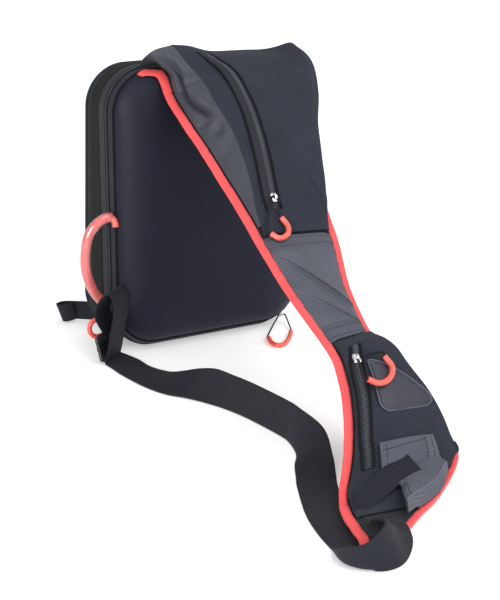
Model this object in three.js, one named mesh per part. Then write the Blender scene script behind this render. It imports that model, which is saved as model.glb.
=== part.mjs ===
// A fishing sling bag that stands on the floor, with its padded shoulder strap fallen forward
// and its webbing laid out. Millimetres, +Z up. The origin is the middle of the bag's base,
// +X runs to the right along the moulded panel, and that panel faces -Y.

import * as THREE from 'three';

// Driving dimensions of the bag body
const BAG = {
  width: 253,
  height: 330,
  corner: 49,
  depthTop: 71,
  depthBottom: 96,
  seamY: -49,
  seamLift: 11,
  shellRise: 28,
  shellWall: 4,
  clothWall: 2,
  tapeWall: 1.6,
  panelRise: 8,
};
const GAP = 0.4;

// Driving dimensions of the strap, its binding and the webbing
const PAD = { half: 3.5, thinHalf: 0.9, thinWide: 9.6, slope: 7 };
const BINDING = { wide: 8, wall: 1, gap: 0.5 };
const PANEL = { wall: 2, base: 3.6, inset: 9.6 };
const ZIP = { lift: 1, yokeTape: 20, lowerTape: 13, tape: 0.9, coilWide: 5, coil: 2.2 };
const WEBBING = { wide: 40, thick: 1.8 };
const TAIL = { wide: 25, thick: 1.8 };
const HANDLE_RADIUS = 6;
const SLEEVE_RADIUS = 3;
const CORD_RADIUS = 1;
const CORD_LEAD = 5;

// How far the side wall stands out from the seam's outline, by distance behind the seam.
// It drops further at the base, where the bag rests. The zip has three bands.
const SIDE = {
  frontTape: [
    { back: 0.4, out: 0.8, drop: 1.4 },
    { back: 6.5, out: 2.0, drop: 5.6 },
    { back: 12.6, out: 3.0, drop: 8.8 },
  ],
  coil: [
    { back: 13.0, out: 2.4, drop: 8.4 },
    { back: 15.1, out: 4.2, drop: 10.4 },
    { back: 17.2, out: 2.4, drop: 8.8 },
  ],
  rearTape: [{ back: 17.6, out: 3.0, drop: 9.8 }, { back: 33.0, out: 3.4, drop: 10.9 }],
};
const GUSSET = { front: 33.4, out: 3.4, drop: 11, rimGap: 3.2, rimOut: -0.8, rimDrop: 3, flatShare: 0.7 };
const PIPING = { radius: 2.6, out: -1.6, drop: 2, sides: 6 };
const PANEL_EDGE = -2.9;

// The strap's two edges, from the bag's top to the tip on the floor
const STRAP = [
  { left: [-68, -51.9, 344], right: [106, -51.9, 344] },
  { left: [-76, -82, 317], right: [112, -85, 317] },
  { left: [-80, -127, 293], right: [98, -125, 293] },
  { left: [-80, -171, 268], right: [75, -167, 267] },
  { left: [-81, -213, 243], right: [51, -215, 238] },
  { left: [-82, -257, 217], right: [30, -257, 211] },
  { left: [-84, -309, 184], right: [12, -311, 178] },
  { left: [-86, -368, 150], right: [-6, -359, 144] },
  { left: [-87, -437, 116], right: [-15, -413, 110] },
  { left: [-92, -464, 102], right: [-4, -445, 89] },
  { left: [-103, -494, 76.5], right: [6, -477, 60] },
  { left: [-122, -525, 45], right: [12, -506, 28.5] },
  { left: [-144, -550, 14.5], right: [11, -530, 8] },
  { left: [-160, -577, 9], right: [-53, -585, 5.9] },
  { left: [-171, -607, 9], right: [-96, -612, 5.9] },
  { left: [-178, -631, 9], right: [-134, -638, 5.9] },
].map((row, s) => ({ s, ...row }));
const TIP = STRAP.length - 1;

// The raised shoulder pocket, by strap row: where the grey side wall meets the black top,
// how far that wall bulges out, the height of the top, and where the right side turns down
const YOKE = [
  { s: 0.0, leftIn: 5, leftHigh: 42, bulge: 27, crown: 22, shoulder: 23, rightOut: 12, rightHigh: 13 },
  { s: 0.5, leftIn: 17, leftHigh: 41, bulge: 13, crown: 33, shoulder: 29, rightOut: 9, rightHigh: 21 },
  { s: 1.4, leftIn: 31, leftHigh: 37, bulge: 5, crown: 39, shoulder: 30, rightOut: 5, rightHigh: 21 },
  { s: 2.3, leftIn: 30, leftHigh: 34, bulge: 2, crown: 38, shoulder: 28, rightOut: 1, rightHigh: 20 },
  { s: 3.1, leftIn: 31, leftHigh: 29, bulge: 1, crown: 33, shoulder: 25, rightOut: -3, rightHigh: 18 },
  { s: 3.9, leftIn: 27, leftHigh: 24, bulge: 0.5, crown: 28, shoulder: 22, rightOut: -5, rightHigh: 16 },
  { s: 4.6, leftIn: 21, leftHigh: 18, bulge: 0, crown: 21, shoulder: 17, rightOut: -6, rightHigh: 13 },
  { s: 5.25, leftIn: 13, leftHigh: 10.5, bulge: 0, crown: 13, shoulder: 11, rightOut: -7, rightHigh: 9 },
  { s: 5.7, leftIn: 11, leftHigh: 5.6, bulge: 0, crown: 7.4, shoulder: 7, rightOut: -9, rightHigh: 5.6 },
];
const BELLOWS_END = 4.9;
const BELLOWS_TUCK = 3.4;
const BELLOWS_FOLDS = [
  { s: 0.75, depth: 4, slant: 0.5, spread: 0.22 },
  { s: 1.7, depth: -2, slant: 0.3, spread: 0.25 },
  { s: 2.3, depth: 5, slant: -0.5, spread: 0.3 },
  { s: 3.3, depth: 2.5, slant: 0.4, spread: 0.3 },
];

// Rows of the two strap zips: the coil's distance from the strap's left edge
const YOKE_ZIP = [
  { s: 0.55, coil: 54 }, { s: 1.27, coil: 68 }, { s: 2.16, coil: 67 }, { s: 3.1, coil: 60 },
  { s: 4.05, coil: 49 }, { s: 4.89, coil: 39 }, { s: 5.25, coil: 36 },
];
const LOWER_ZIP = [
  { s: 8.45, coil: 27 }, { s: 9.1, coil: 18.5 }, { s: 9.93, coil: 17.5 },
  { s: 10.95, coil: 18.5 }, { s: 11.6, coil: 25 },
];

// The grey middle panel and its slanting folds
const MID = { start: 5.8, end: 7.95, puff: 2.0, gap: 0.6 };
const MID_FOLDS = [
  { left: 6.05, right: 7.35, rise: 3.5, spread: 0.2 },
  { left: 7.05, right: 7.75, rise: 2.5, spread: 0.16 },
];

// The black chest pocket, by strap row
const LOWER = [
  { s: 8.02, leftHigh: 5.8, crown: 8, rightOut: -5, rightHigh: 9 },
  { s: 8.4, leftHigh: 8, crown: 13, rightOut: -3, rightHigh: 14 },
  { s: 9.3, leftHigh: 9.5, crown: 17, rightOut: -6, rightHigh: 15.5 },
  { s: 10.5, leftHigh: 9.5, crown: 18, rightOut: -6, rightHigh: 16 },
  { s: 11.3, leftHigh: 9, crown: 16, rightOut: -9, rightHigh: 13.5 },
  { s: 12.2, leftHigh: 8, crown: 12, rightOut: -9, rightHigh: 10 },
  { s: 13.1, leftHigh: 6.4, crown: 8, rightOut: -9, rightHigh: 7 },
  { s: 13.7, leftHigh: 6, crown: 6.6, rightOut: -9, rightHigh: 6.4 },
];
const LOWER_TURN = { in: 7, down: 3 };
const BADGE = [
  { s: 9.06, left: 33, right: 43 }, { s: 9.3, left: 34, right: 60 }, { s: 9.6, left: 36, right: 78 },
  { s: 10.0, left: 38, right: 95 }, { s: 10.3, left: 40, right: 107 }, { s: 10.45, left: 47, right: 101 },
];
const BADGE_THICK = 1.2;

// The tool pouch is an arched sheet between four corners, given as strap row and distance across
const POUCH = {
  topLeft: [11.1, 35], topRight: [11.1, 106], bottomRight: [12.48, 121], bottomLeft: [13.6, 62],
  riseLeft: 10, riseRight: 4, wall: 1.4, lift: 0.7,
};
const TAB = { from: [13.1, 24], to: [11.85, 88], across: [0.19, 8.4], wall: 1.6, lift: 0.8, run: 26 };

// The webbing's outer edge from the adjuster to where it curls over: lean is 0 where it lies flat
// and 90 where it stands on edge, and skew turns its end to the adjuster's bar
const SLING = [
  { x: -159.6, y: -76.8, z: 1.8, lean: 4, skew: 37 },
  { x: -159, y: -95.4, z: 1.5, lean: 3, skew: 14 },
  { x: -159, y: -119.6, z: 1.4, lean: 3, skew: 0 },
  { x: -154.9, y: -165, z: 1.4, lean: 12, skew: 0 },
  { x: -145.9, y: -200.2, z: 1.3, lean: 26, skew: 0 },
  { x: -131.8, y: -223.4, z: 1.2, lean: 40, skew: 0 },
  { x: -119.7, y: -248.6, z: 1.1, lean: 62, skew: 0 },
  { x: -109.6, y: -278.9, z: 1, lean: 78, skew: 0 },
  { x: -103.5, y: -314.2, z: 1, lean: 79, skew: 0 },
  { x: -99.5, y: -370.6, z: 1, lean: 79, skew: 0 },
  { x: -101.5, y: -393.8, z: 1, lean: 76, skew: 0 },
  { x: -112.6, y: -424.1, z: 1.2, lean: 46, skew: 0 },
  { x: -128.7, y: -446.2, z: 1.3, lean: 16, skew: 0 },
  { x: -142.8, y: -470.4, z: 1.2, lean: 3, skew: 0 },
  { x: -155.9, y: -493.6, z: 1.2, lean: 0, skew: 0 },
  { x: -181.2, y: -547.1, z: 1.2, lean: 0, skew: 0 },
  { x: -194.3, y: -587.4, z: 1.2, lean: 0, skew: 0 },
  { x: -201.3, y: -619.6, z: 1.2, lean: 0, skew: 0 },
].map((row, s) => ({ s, ...row }));

// Where the webbing curls over and turns back into the strap's tip: its outer edge, middle and inner edge
const SLING_CURL = [
  [[-211, -640, 12], [-203, -648, 1.6], [-172, -640, 1.3]],
  [[-212, -658, 22], [-205.5, -664, 5], [-186, -668, 1.2]],
  [[-206, -677, 31], [-199, -676, 15], [-191, -675, 1.2]],
  [[-192, -677, 37], [-187, -680, 19], [-182, -680.1, 1.2]],
  [[-174, -663, 37], [-170, -673, 19], [-167, -678.6, 1.2]],
  [[-163, -648, 33], [-156, -659, 17.5], [-150.5, -668, 1.6]],
  [[-161, -634, 27.5], [-147, -644, 18], [-134.8, -651.9, 6]],
  [[-166, -625, 24], [-148, -631, 20.5], [-129.7, -635.8, 13.6]],
  [[-171, -619, 19.5], [-151, -621.5, 17.4], [-131.8, -623.7, 14.6]],
  [[-173.5, -609, 18], [-153.5, -610, 16.5], [-133.8, -611.6, 14.8]],
];

// The strap end comes out from under the bag on edge, then turns over on itself
const TAIL_ROUTE = [
  { x: -44, y: 51, z: 1.2, lean: 90 }, { x: -60, y: 51, z: 1.2, lean: 90 },
  { x: -74, y: 57, z: 1.2, lean: 88 }, { x: -87, y: 74, z: 1.2, lean: 86 },
].map((row, s) => ({ s, skew: 0, ...row }));

// Its turned end: lower edge, middle and upper edge
const TAIL_CURL = [
  [[-98, 88, 1.2], [-99, 89, 13.5], [-100, 90, 25.8]],
  [[-110, 99, 1.2], [-112, 100, 13.6], [-114, 101, 26]],
  [[-121, 108, 1.2], [-124.5, 109.5, 13.3], [-128, 111, 25.5]],
  [[-129.5, 108, 1.2], [-133.7, 108.5, 13], [-138, 109, 24.8]],
  [[-131.8, 101.5, 1.2], [-135.9, 101, 13.2], [-140, 100.5, 25.3]],
  [[-127.5, 96.5, 2], [-131, 95.5, 14], [-134.5, 94.5, 26]],
  [[-118, 96, 3.4], [-121, 95, 15.5], [-124, 94, 27.5]],
];

// The adjuster and the webbing loop above it share one slanting frame:
// across runs along the adjuster's bar, and ahead points to the front
const ADJUSTER = {
  centre: [-147.9, -58.8, 18.8], across: [0.79, 0.61, 0], slope: 76,
  wide: 46, long: 33, thick: 4, slot: 8, bar: 4,
};
const LOOP = [
  { ahead: -3, up: 36.5, side: 8.6 }, { ahead: -6.5, up: 47, side: 4 }, { ahead: -9, up: 59, side: 0 },
  { ahead: -6.5, up: 72, side: 0 }, { ahead: 2, up: 84.5, side: 0 }, { ahead: 10, up: 88.5, side: 0 },
  { ahead: 15, up: 80.5, side: 0 }, { ahead: 15.5, up: 62, side: 0 }, { ahead: 12, up: 45, side: 0 },
  { ahead: 6, up: 29, side: 0 }, { ahead: -0.1, up: 16, side: 0 },
].map((row, s) => ({ s, ...row }));
const LOOP_FOOT = { x: -142.7, y: -59.9, side: -3.5 };

// The clear tube grip on the left side, from top to bottom
const HANDLE_ROUTE = [
  [-130.6, -44.5, 170.5], [-139, -44, 170.5], [-151, -42, 162.5], [-160, -40, 148.8], [-163.5, -38, 124],
  [-161, -36, 102.5], [-153, -34, 82], [-143, -32, 68.5], [-137, -31.2, 64.4], [-131.8, -31, 63.8],
];

// Zip pulls: a slider, a thin cord from sleeve end to sleeve end past the slider, and a red sleeve.
// Those on the strap are given as strap row, distance across and height over the cloth.
const STRAP_PULLS = [
  {
    name: 'yoke', slider: [5.02, 38.2], surface: 'yoke', cordTop: [5.26, 38.5, 5.4],
    sleeve: [[5.48, 35, 5.0], [5.66, 38, 5.2], [5.82, 33, 5.0], [5.88, 22, 4.6], [5.76, 15, 4.4]],
  },
  {
    name: 'lower', slider: [9.0, 19.4], surface: 'lower', cordTop: [9.08, 28, 6.6],
    sleeve: [[9.16, 50, 5.4], [9.48, 54, 5.8], [9.74, 45, 5.8], [9.8, 31, 7.4], [9.66, 19, 9.4]],
  },
];
const MAIN_PULLS = [
  {
    name: 'main_right', slider: { corner: [1, -1], angle: -52 }, cordTop: [114.7, -33.9, 8.1],
    sleeve: [
      [60, -92, 3.4], [52, -106, 3.4], [54, -124, 3.4], [68, -131, 3.4], [85, -116, 3.4], [93, -94, 3.4],
    ],
  },
  {
    name: 'main_left', slider: { corner: [-1, -1], angle: 205 }, cordTop: [-131, -38.4, 38],
    sleeve: [[-150, -39, 47], [-159, -39, 42], [-161, -39, 33], [-156, -39, 25.5], [-148.5, -39, 24]],
  },
];
const SLIDER = { lift: 0.5, long: 10, wide: 7, plate: 1.6, high: 4.6, window: [4.4, 1.4] };

// Colours and finishes
const cloth = (color, roughness) => new THREE.MeshStandardMaterial({ color, roughness });
const MATERIAL = {
  shell: cloth(0x2d2e38, 0.75),
  blackCloth: cloth(0x32363c, 0.85),
  greyCloth: cloth(0x62666f, 0.7),
  webbing: cloth(0x2f3034, 0.8),
  binding: cloth(0xfa5c5f, 0.7),
  zipTape: cloth(0x2a2c30, 0.85),
  zipCoil: cloth(0x24262a, 0.5),
  badge: cloth(0x3a3f4c, 0.5),
  sleeve: cloth(0xf76962, 0.4),
  tube: cloth(0xf58a88, 0.2),
  cord: cloth(0x202124, 0.7),
  plastic: cloth(0x26272a, 0.5),
  chrome: new THREE.MeshStandardMaterial({ color: 0xd8dade, roughness: 0.15, metalness: 1 }),
};

const group = new THREE.Group();

function add(name, geometry, material) {
  const mesh = new THREE.Mesh(geometry, material);
  mesh.name = name;
  group.add(mesh);
  return mesh;
}

const vector = (point) => new THREE.Vector3(...point);
const radians = THREE.MathUtils.degToRad;
const mix = THREE.MathUtils.lerp;
const clamp = THREE.MathUtils.clamp;
const steps = (from, to, count) => Array.from({ length: count + 1 }, (_, k) => mix(from, to, k / count));

// Smooth curve through one column of a table, whose rows lie at s. A column holds numbers or points.
function column(table, name, s) {
  const last = table.length - 1;
  let i = table.findIndex((row) => row.s > s) - 1;
  if (i < 0) i = s <= table[0].s ? 0 : last - 1;
  const span = table[i + 1].s - table[i].s;
  const f = clamp((s - table[i].s) / span, 0, 1);
  const hermite = (pick) => {
    const value = (k) => pick(table[k][name]);
    const slope = (k) => {
      const [a, b] = [Math.max(k - 1, 0), Math.min(k + 1, last)];
      return ((value(b) - value(a)) / (table[b].s - table[a].s)) * span;
    };
    return (2 * f ** 3 - 3 * f ** 2 + 1) * value(i) + (f ** 3 - 2 * f ** 2 + f) * slope(i)
      + (-2 * f ** 3 + 3 * f ** 2) * value(i + 1) + (f ** 3 - f ** 2) * slope(i + 1);
  };
  if (!Array.isArray(table[0][name])) return hermite((value) => value);
  return new THREE.Vector3(...[0, 1, 2].map((axis) => hermite((value) => value[axis])));
}

// A closed solid from its vertices and triangles, turned so that its faces point outwards
function solid(points, index) {
  let volume = 0;
  for (let k = 0; k < index.length; k += 3) {
    const [a, b, c] = [points[index[k]], points[index[k + 1]], points[index[k + 2]]];
    volume += a.dot(b.clone().cross(c));
  }
  const geometry = new THREE.BufferGeometry().setFromPoints(points);
  geometry.setIndex(volume < 0 ? index.slice().reverse() : index);
  return geometry;
}

// A wall between an outer and an inner grid of points, closed along its edges.
// As a ring, its last row joins its first.
function sheet(outer, inner, ring = false) {
  const rows = outer.length;
  const edge = outer[0].length - 1;
  const out = (i, j) => (i % rows) * (edge + 1) + j;
  const back = (i, j) => rows * (edge + 1) + out(i, j);
  const index = [];
  const quad = (a, b, c, d) => index.push(a, b, c, a, c, d);
  for (let i = 0; i < (ring ? rows : rows - 1); i += 1) {
    for (let j = 0; j < edge; j += 1) {
      quad(out(i, j), out(i + 1, j), out(i + 1, j + 1), out(i, j + 1));
      quad(back(i, j), back(i, j + 1), back(i + 1, j + 1), back(i + 1, j));
    }
    quad(out(i, 0), back(i, 0), back(i + 1, 0), out(i + 1, 0));
    quad(out(i, edge), out(i + 1, edge), back(i + 1, edge), back(i, edge));
  }
  for (let j = 0; j < edge && !ring; j += 1) {
    const end = rows - 1;
    quad(out(0, j), out(0, j + 1), back(0, j + 1), back(0, j));
    quad(out(end, j), back(end, j), back(end, j + 1), out(end, j + 1));
  }
  return solid([...outer.flat(), ...inner.flat()], index);
}

// A round tube with flat ends along a smooth route
function tube(points, radius, sides, stepCount) {
  const ring = new THREE.EllipseCurve(0, 0, radius, radius).getPoints(sides).slice(0, sides);
  const circle = new THREE.Shape(ring);
  const extrudePath = new THREE.CatmullRomCurve3(points);
  return new THREE.ExtrudeGeometry(circle, { steps: stepCount, extrudePath, bevelEnabled: false });
}

// Bag body
// The rounded outline of the seam, grown by out and at the base by drop, as arcs joined by straight runs
function outline(out, drop = out) {
  const cornerSteps = 5;
  const straightSteps = [3, 2];
  const half = [BAG.width / 2 - BAG.corner, BAG.height / 2 - BAG.corner];
  const middle = BAG.seamLift + BAG.height / 2;
  const corners = [[1, -1], [1, 1], [-1, 1], [-1, -1]].map(([x, z], quarter) => (
    steps(-90, 0, cornerSteps).map((angle) => {
      const turn = radians(angle + 90 * quarter);
      return new THREE.Vector2(
        x * half[0] + (BAG.corner + out) * Math.cos(turn),
        middle + z * half[1] + (BAG.corner + (z < 0 ? drop : out)) * Math.sin(turn),
      );
    })
  ));
  return corners.flatMap((arc, quarter) => {
    const next = corners[(quarter + 1) % 4][0];
    const count = straightSteps[quarter % 2];
    const run = steps(0, 1, count).slice(1, count).map((f) => arc.at(-1).clone().lerp(next, f));
    return [...arc, ...run];
  });
}

function rimY(z) {
  const f = (z - BAG.seamLift) / BAG.height;
  return BAG.seamY + mix(BAG.depthBottom, BAG.depthTop, f);
}

// A band round the bag: profile(z) gives its rows of distance behind the seam and distance out
function band(profile, wall) {
  const seam = outline(0);
  const rail = (shrink) => seam.map((base, k) => profile(base.y).map(({ back, out, drop }) => {
    const point = outline(out - shrink, drop - shrink)[k];
    return new THREE.Vector3(point.x, BAG.seamY + back, point.y);
  }));
  return sheet(rail(0), rail(wall), true);
}

// A domed panel over the outline: rings of the outline shrink to its middle as the panel rises
function domedPanel(count, reach, rise, wall, plane, facing) {
  const middle = BAG.seamLift + BAG.height / 2;
  const grid = (inset, lower) => steps(-1, 1, count).map((p) => steps(-1, 1, count).map((q) => {
    const ring = Math.max(Math.abs(p), Math.abs(q));
    if (ring === 0) return new THREE.Vector3(0, plane(middle) + facing * (rise - lower), middle);
    const [side, end] = [p / ring, q / ring];
    const edge = edgePoint(side, end, reach - inset);
    const x = edge.x * ring;
    const z = middle + (edge.y - middle) * ring;
    const height = (rise - lower) * (1 - ring ** 5) ** 0.6;
    return new THREE.Vector3(x, plane(z) + facing * height, z);
  }));
  return sheet(grid(0, 0), grid(wall, wall));
}

// The point of the grown outline that a ray from its middle meets, towards a square's edge point
function edgePoint(side, end, out) {
  const half = [BAG.width / 2 + out, BAG.height / 2 + out];
  const radius = BAG.corner + out;
  const middle = BAG.seamLift + BAG.height / 2;
  const point = new THREE.Vector2(side * half[0], end * half[1]);
  const core = new THREE.Vector2(
    clamp(point.x, radius - half[0], half[0] - radius),
    clamp(point.y, radius - half[1], half[1] - radius),
  );
  const overhang = point.clone().sub(core);
  if (overhang.x !== 0 && overhang.y !== 0) point.copy(core).add(overhang.setLength(radius));
  return point.add(new THREE.Vector2(0, middle));
}

function buildBag() {
  const shell = domedPanel(14, 0, BAG.shellRise, BAG.shellWall, () => BAG.seamY, -1);
  add('shell_panel', shell, MATERIAL.shell);
  add('main_zip_front_tape', band(() => SIDE.frontTape, BAG.tapeWall), MATERIAL.zipTape);
  add('main_zip_coil', band(() => SIDE.coil, BAG.clothWall), MATERIAL.zipCoil);
  add('main_zip_rear_tape', band(() => SIDE.rearTape, BAG.tapeWall), MATERIAL.zipTape);
  const gusset = (z) => {
    const rear = rimY(z) - BAG.seamY - GUSSET.rimGap;
    return [
      { back: GUSSET.front, out: GUSSET.out, drop: GUSSET.drop },
      { back: mix(GUSSET.front, rear, GUSSET.flatShare), out: GUSSET.out, drop: GUSSET.drop },
      { back: rear, out: GUSSET.rimOut, drop: GUSSET.rimDrop },
    ];
  };
  add('gusset', band(gusset, BAG.clothWall), MATERIAL.blackCloth);
  const bead = (z) => steps(0, 180, PIPING.sides / 2).map((angle) => ({
    back: rimY(z) - BAG.seamY - PIPING.radius * Math.cos(radians(angle)),
    out: PIPING.out + PIPING.radius * Math.sin(radians(angle)),
    drop: PIPING.drop + PIPING.radius * Math.sin(radians(angle)),
  }));
  add('rim_piping', band(bead, PIPING.radius), MATERIAL.blackCloth);
  const panel = domedPanel(10, PANEL_EDGE, BAG.panelRise, BAG.clothWall, rimY, 1);
  add('outer_panel', panel, MATERIAL.blackCloth);
  add('handle_tube', tube(HANDLE_ROUTE.map(vector), HANDLE_RADIUS, 10, 18), MATERIAL.tube);
}

// Shoulder strap
// The strap's own axes at row s: along it, across it to the right, and out of its outer face
function strapFrame(s) {
  const reach = 0.05;
  const middle = (row) => column(STRAP, 'left', row).add(column(STRAP, 'right', row)).multiplyScalar(0.5);
  const left = column(STRAP, 'left', s);
  const span = column(STRAP, 'right', s).sub(left);
  const width = span.length();
  const across = span.divideScalar(width);
  const ahead = middle(Math.min(s + reach, TIP)).sub(middle(Math.max(s - reach, 0))).normalize();
  const out = ahead.clone().cross(across).normalize();
  return { left, width, across, ahead, out };
}

function strapPoint(s, over, high) {
  const { left, across, out } = strapFrame(s);
  return left.addScaledVector(across, over).addScaledVector(out, high);
}

const strapRows = (from, to, count, row) => steps(from, to, count).map((s) => row(s, strapFrame(s).width));

function buildPad() {
  const rows = 33;
  const side = (sign) => strapRows(0, TIP, rows, (s, width) => {
    const half = [[0, PAD.thinHalf], [PAD.thinWide, PAD.thinHalf], [PAD.thinWide + PAD.slope, PAD.half]];
    const left = half.map(([over, high]) => strapPoint(s, over, sign * high));
    const right = half.map(([over, high]) => strapPoint(s, width - over, sign * high)).reverse();
    return [...left, ...right];
  });
  add('strap_pad', sheet(side(1), side(-1)), MATERIAL.blackCloth);
  for (const [name, mirror] of [['binding_left', false], ['binding_right', true]]) {
    const rail = (grow) => strapRows(0, TIP, rows, (s, width) => {
      const high = PAD.thinHalf + BINDING.gap + grow;
      const outside = -BINDING.gap - grow;
      return [[BINDING.wide, high], [outside, high], [outside, -high], [BINDING.wide, -high]]
        .map(([over, up]) => strapPoint(s, mirror ? width - over : over, up));
    });
    add(name, sheet(rail(BINDING.wall), rail(0)), MATERIAL.binding);
  }
}

// The binding's short end that lies on the shell's top edge, round the left corner
function buildBindingStart() {
  const arc = { from: 85, to: 114, count: 5 };
  const foot = [{ back: -7, out: -2.6 }, { back: -0.8, out: 0.7 }];
  const thick = 2.2;
  const centre = [BAG.corner - BAG.width / 2, BAG.seamLift + BAG.height - BAG.corner];
  const rail = (grow) => steps(arc.from, arc.to, arc.count).map((angle) => foot.map(({ back, out }) => {
    const radius = BAG.corner + out + grow;
    return new THREE.Vector3(
      centre[0] + radius * Math.cos(radians(angle)),
      BAG.seamY + back,
      centre[1] + radius * Math.sin(radians(angle)),
    );
  }));
  add('binding_start', sheet(rail(thick), rail(0)), MATERIAL.binding);
}

// Cross-sections of the raised cloth: curves of distance across and height
function yokeTop(s, width) {
  const at = (name) => column(YOKE, name, s);
  const left = new THREE.Vector2(at('leftIn'), at('leftHigh'));
  const right = new THREE.Vector2(width + at('rightOut'), at('rightHigh'));
  return new THREE.SplineCurve([
    left,
    new THREE.Vector2(mix(left.x, right.x, 0.3), at('crown')),
    new THREE.Vector2(mix(left.x, right.x, 0.66), mix(at('crown'), at('shoulder'), 0.5)),
    new THREE.Vector2(mix(left.x, right.x, 0.9), at('shoulder')),
    right,
    new THREE.Vector2(width - PANEL.inset, PANEL.base),
  ]);
}

function yokeSide(s) {
  const at = (name) => column(YOKE, name, s);
  const foot = new THREE.Vector2(PANEL.inset, PANEL.base);
  const top = new THREE.Vector2(at('leftIn'), at('leftHigh'));
  const middle = foot.clone().lerp(top, 0.5).add(new THREE.Vector2(-at('bulge'), 0));
  return new THREE.SplineCurve([foot, middle, top]);
}

function lowerTop(s, width) {
  const at = (name) => column(LOWER, name, s);
  const right = width + at('rightOut');
  return new THREE.SplineCurve([
    new THREE.Vector2(PANEL.inset, PANEL.base),
    new THREE.Vector2(PANEL.inset + 4, at('leftHigh')),
    new THREE.Vector2(width * 0.45, at('crown')),
    new THREE.Vector2(right - LOWER_TURN.in, at('rightHigh')),
    new THREE.Vector2(right, at('rightHigh') - LOWER_TURN.down),
    new THREE.Vector2(width - PANEL.inset, PANEL.base),
  ]);
}

// A point of a cross-section, moved out along its own normal by rise
function offCurve(curve, f, rise) {
  const tangent = curve.getTangent(f);
  return curve.getPoint(f).add(new THREE.Vector2(-tangent.y, tangent.x).multiplyScalar(rise));
}

// The height of a cross-section at a distance across, found by halving its climb from left to right
function heightAt(curve, over) {
  const last = curve.points.length - 1;
  let [low, high] = [0, (last - 1) / last];
  for (let k = 0; k < 24; k += 1) {
    const f = (low + high) / 2;
    if (curve.getPoint(f).x < over) low = f;
    else high = f;
  }
  return curve.getPoint(low).y;
}

const yokeHeight = (s, over) => heightAt(yokeTop(s, strapFrame(s).width), over);
const lowerHeight = (s, over) => heightAt(lowerTop(s, strapFrame(s).width), over);

// A cloth wall whose cross-section at each row is a curve, with a share of it used
function clothWall(from, to, count, curveAt, shares, dent = () => 0) {
  const rail = (shrink) => strapRows(from, to, count, (s, width) => {
    const curve = curveAt(s, width);
    return shares(s, curve).map((f) => {
      const point = offCurve(curve, f, -shrink - dent(s, f));
      return strapPoint(s, point.x, point.y);
    });
  });
  return sheet(rail(0), rail(PANEL.wall));
}

function buildYoke() {
  const end = YOKE.at(-1).s;
  add('yoke_pocket', clothWall(0, end, 15, yokeTop, () => steps(0, 1, 9)), MATERIAL.blackCloth);
  const dent = (s, f) => BELLOWS_FOLDS.reduce((sum, fold) => {
    const away = (s - fold.s - fold.slant * (f - 0.5)) / fold.spread;
    return sum + fold.depth * Math.exp(-away * away) * Math.sin(Math.PI * f);
  }, 0);
  const shares = (s, curve) => steps(0, 1 - BELLOWS_TUCK / curve.getLength(), 5);
  add('yoke_bellows', clothWall(0, BELLOWS_END, 16, yokeSide, shares, dent), MATERIAL.greyCloth);
  buildYokeBack();
  buildZip('yoke', YOKE_ZIP, yokeHeight, ZIP.yokeTape);
}

// The cloth that closes the shoulder pocket towards the bag, set inside its walls
function buildYokeBack() {
  const inside = PANEL.wall + 2.2;
  const [front, back] = [0.06, 0.02];
  const rail = (s) => {
    const { width } = strapFrame(s);
    const [top, side] = [yokeTop(s, width), yokeSide(s)];
    const left = offCurve(side, 0.5, -inside);
    return steps(0.08, 0.66, 8).map((f) => {
      const point = offCurve(top, f, -inside);
      const over = Math.max(point.x, left.x + 4);
      return [strapPoint(s, over, point.y), strapPoint(s, Math.min(over, width - 14), PAD.half + GAP)];
    });
  };
  add('yoke_back', sheet(rail(front), rail(back)), MATERIAL.blackCloth);
}

// A zip on the strap: its tape follows the cloth below, and the coil stands on the tape
function buildZip(name, table, height, tapeWide) {
  const strip = (wide, low, high) => {
    const rail = (lift) => strapRows(table[0].s, table.at(-1).s, 12, (s) => {
      const middle = column(table, 'coil', s);
      return [-0.5, 0, 0.5].map((side) => {
        const over = middle + side * wide;
        return strapPoint(s, over, height(s, over) + lift);
      });
    });
    return sheet(rail(high), rail(low));
  };
  const tapeTop = ZIP.lift + ZIP.tape;
  add(`${name}_zip_tape`, strip(tapeWide, ZIP.lift, tapeTop), MATERIAL.zipTape);
  add(`${name}_zip_coil`, strip(ZIP.coilWide, tapeTop + GAP, tapeTop + GAP + ZIP.coil), MATERIAL.zipCoil);
}

// The height of the pad's outer face at a distance across
function padTop(over, width) {
  const inside = Math.min(over, width - over) - PAD.thinWide;
  return mix(PAD.thinHalf, PAD.half, clamp(inside / PAD.slope, 0, 1));
}

function buildMidPanel() {
  const rail = (lift) => strapRows(MID.start, MID.end, 14, (s, width) => (
    steps(0, 1, 8).map((f) => {
      const folds = MID_FOLDS.reduce((sum, fold) => {
        const away = (s - mix(fold.left, fold.right, f)) / fold.spread;
        return sum + fold.rise * Math.exp(-away * away);
      }, 0);
      const puff = (MID.puff + folds) * Math.sin(Math.PI * f) ** 0.7;
      const over = mix(PANEL.inset, width - PANEL.inset, f);
      return strapPoint(s, over, padTop(over, width) + MID.gap + puff + lift);
    })
  ));
  add('mid_panel', sheet(rail(PANEL.wall), rail(0)), MATERIAL.greyCloth);
}

// How far the tool pouch arches up from the chest pocket at a strap row and distance across
function pouchRise(s, over) {
  const { topLeft, bottomLeft, bottomRight, riseLeft, riseRight } = POUCH;
  const sideways = clamp((over - bottomLeft[1]) / (bottomRight[1] - bottomLeft[1]), 0, 1);
  const bottom = mix(bottomLeft[0], bottomRight[0], sideways);
  const down = clamp((s - topLeft[0]) / (bottom - topLeft[0]), 0, 1);
  return mix(riseLeft, riseRight, sideways) * Math.sin(Math.PI * down) ** 0.8;
}

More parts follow.
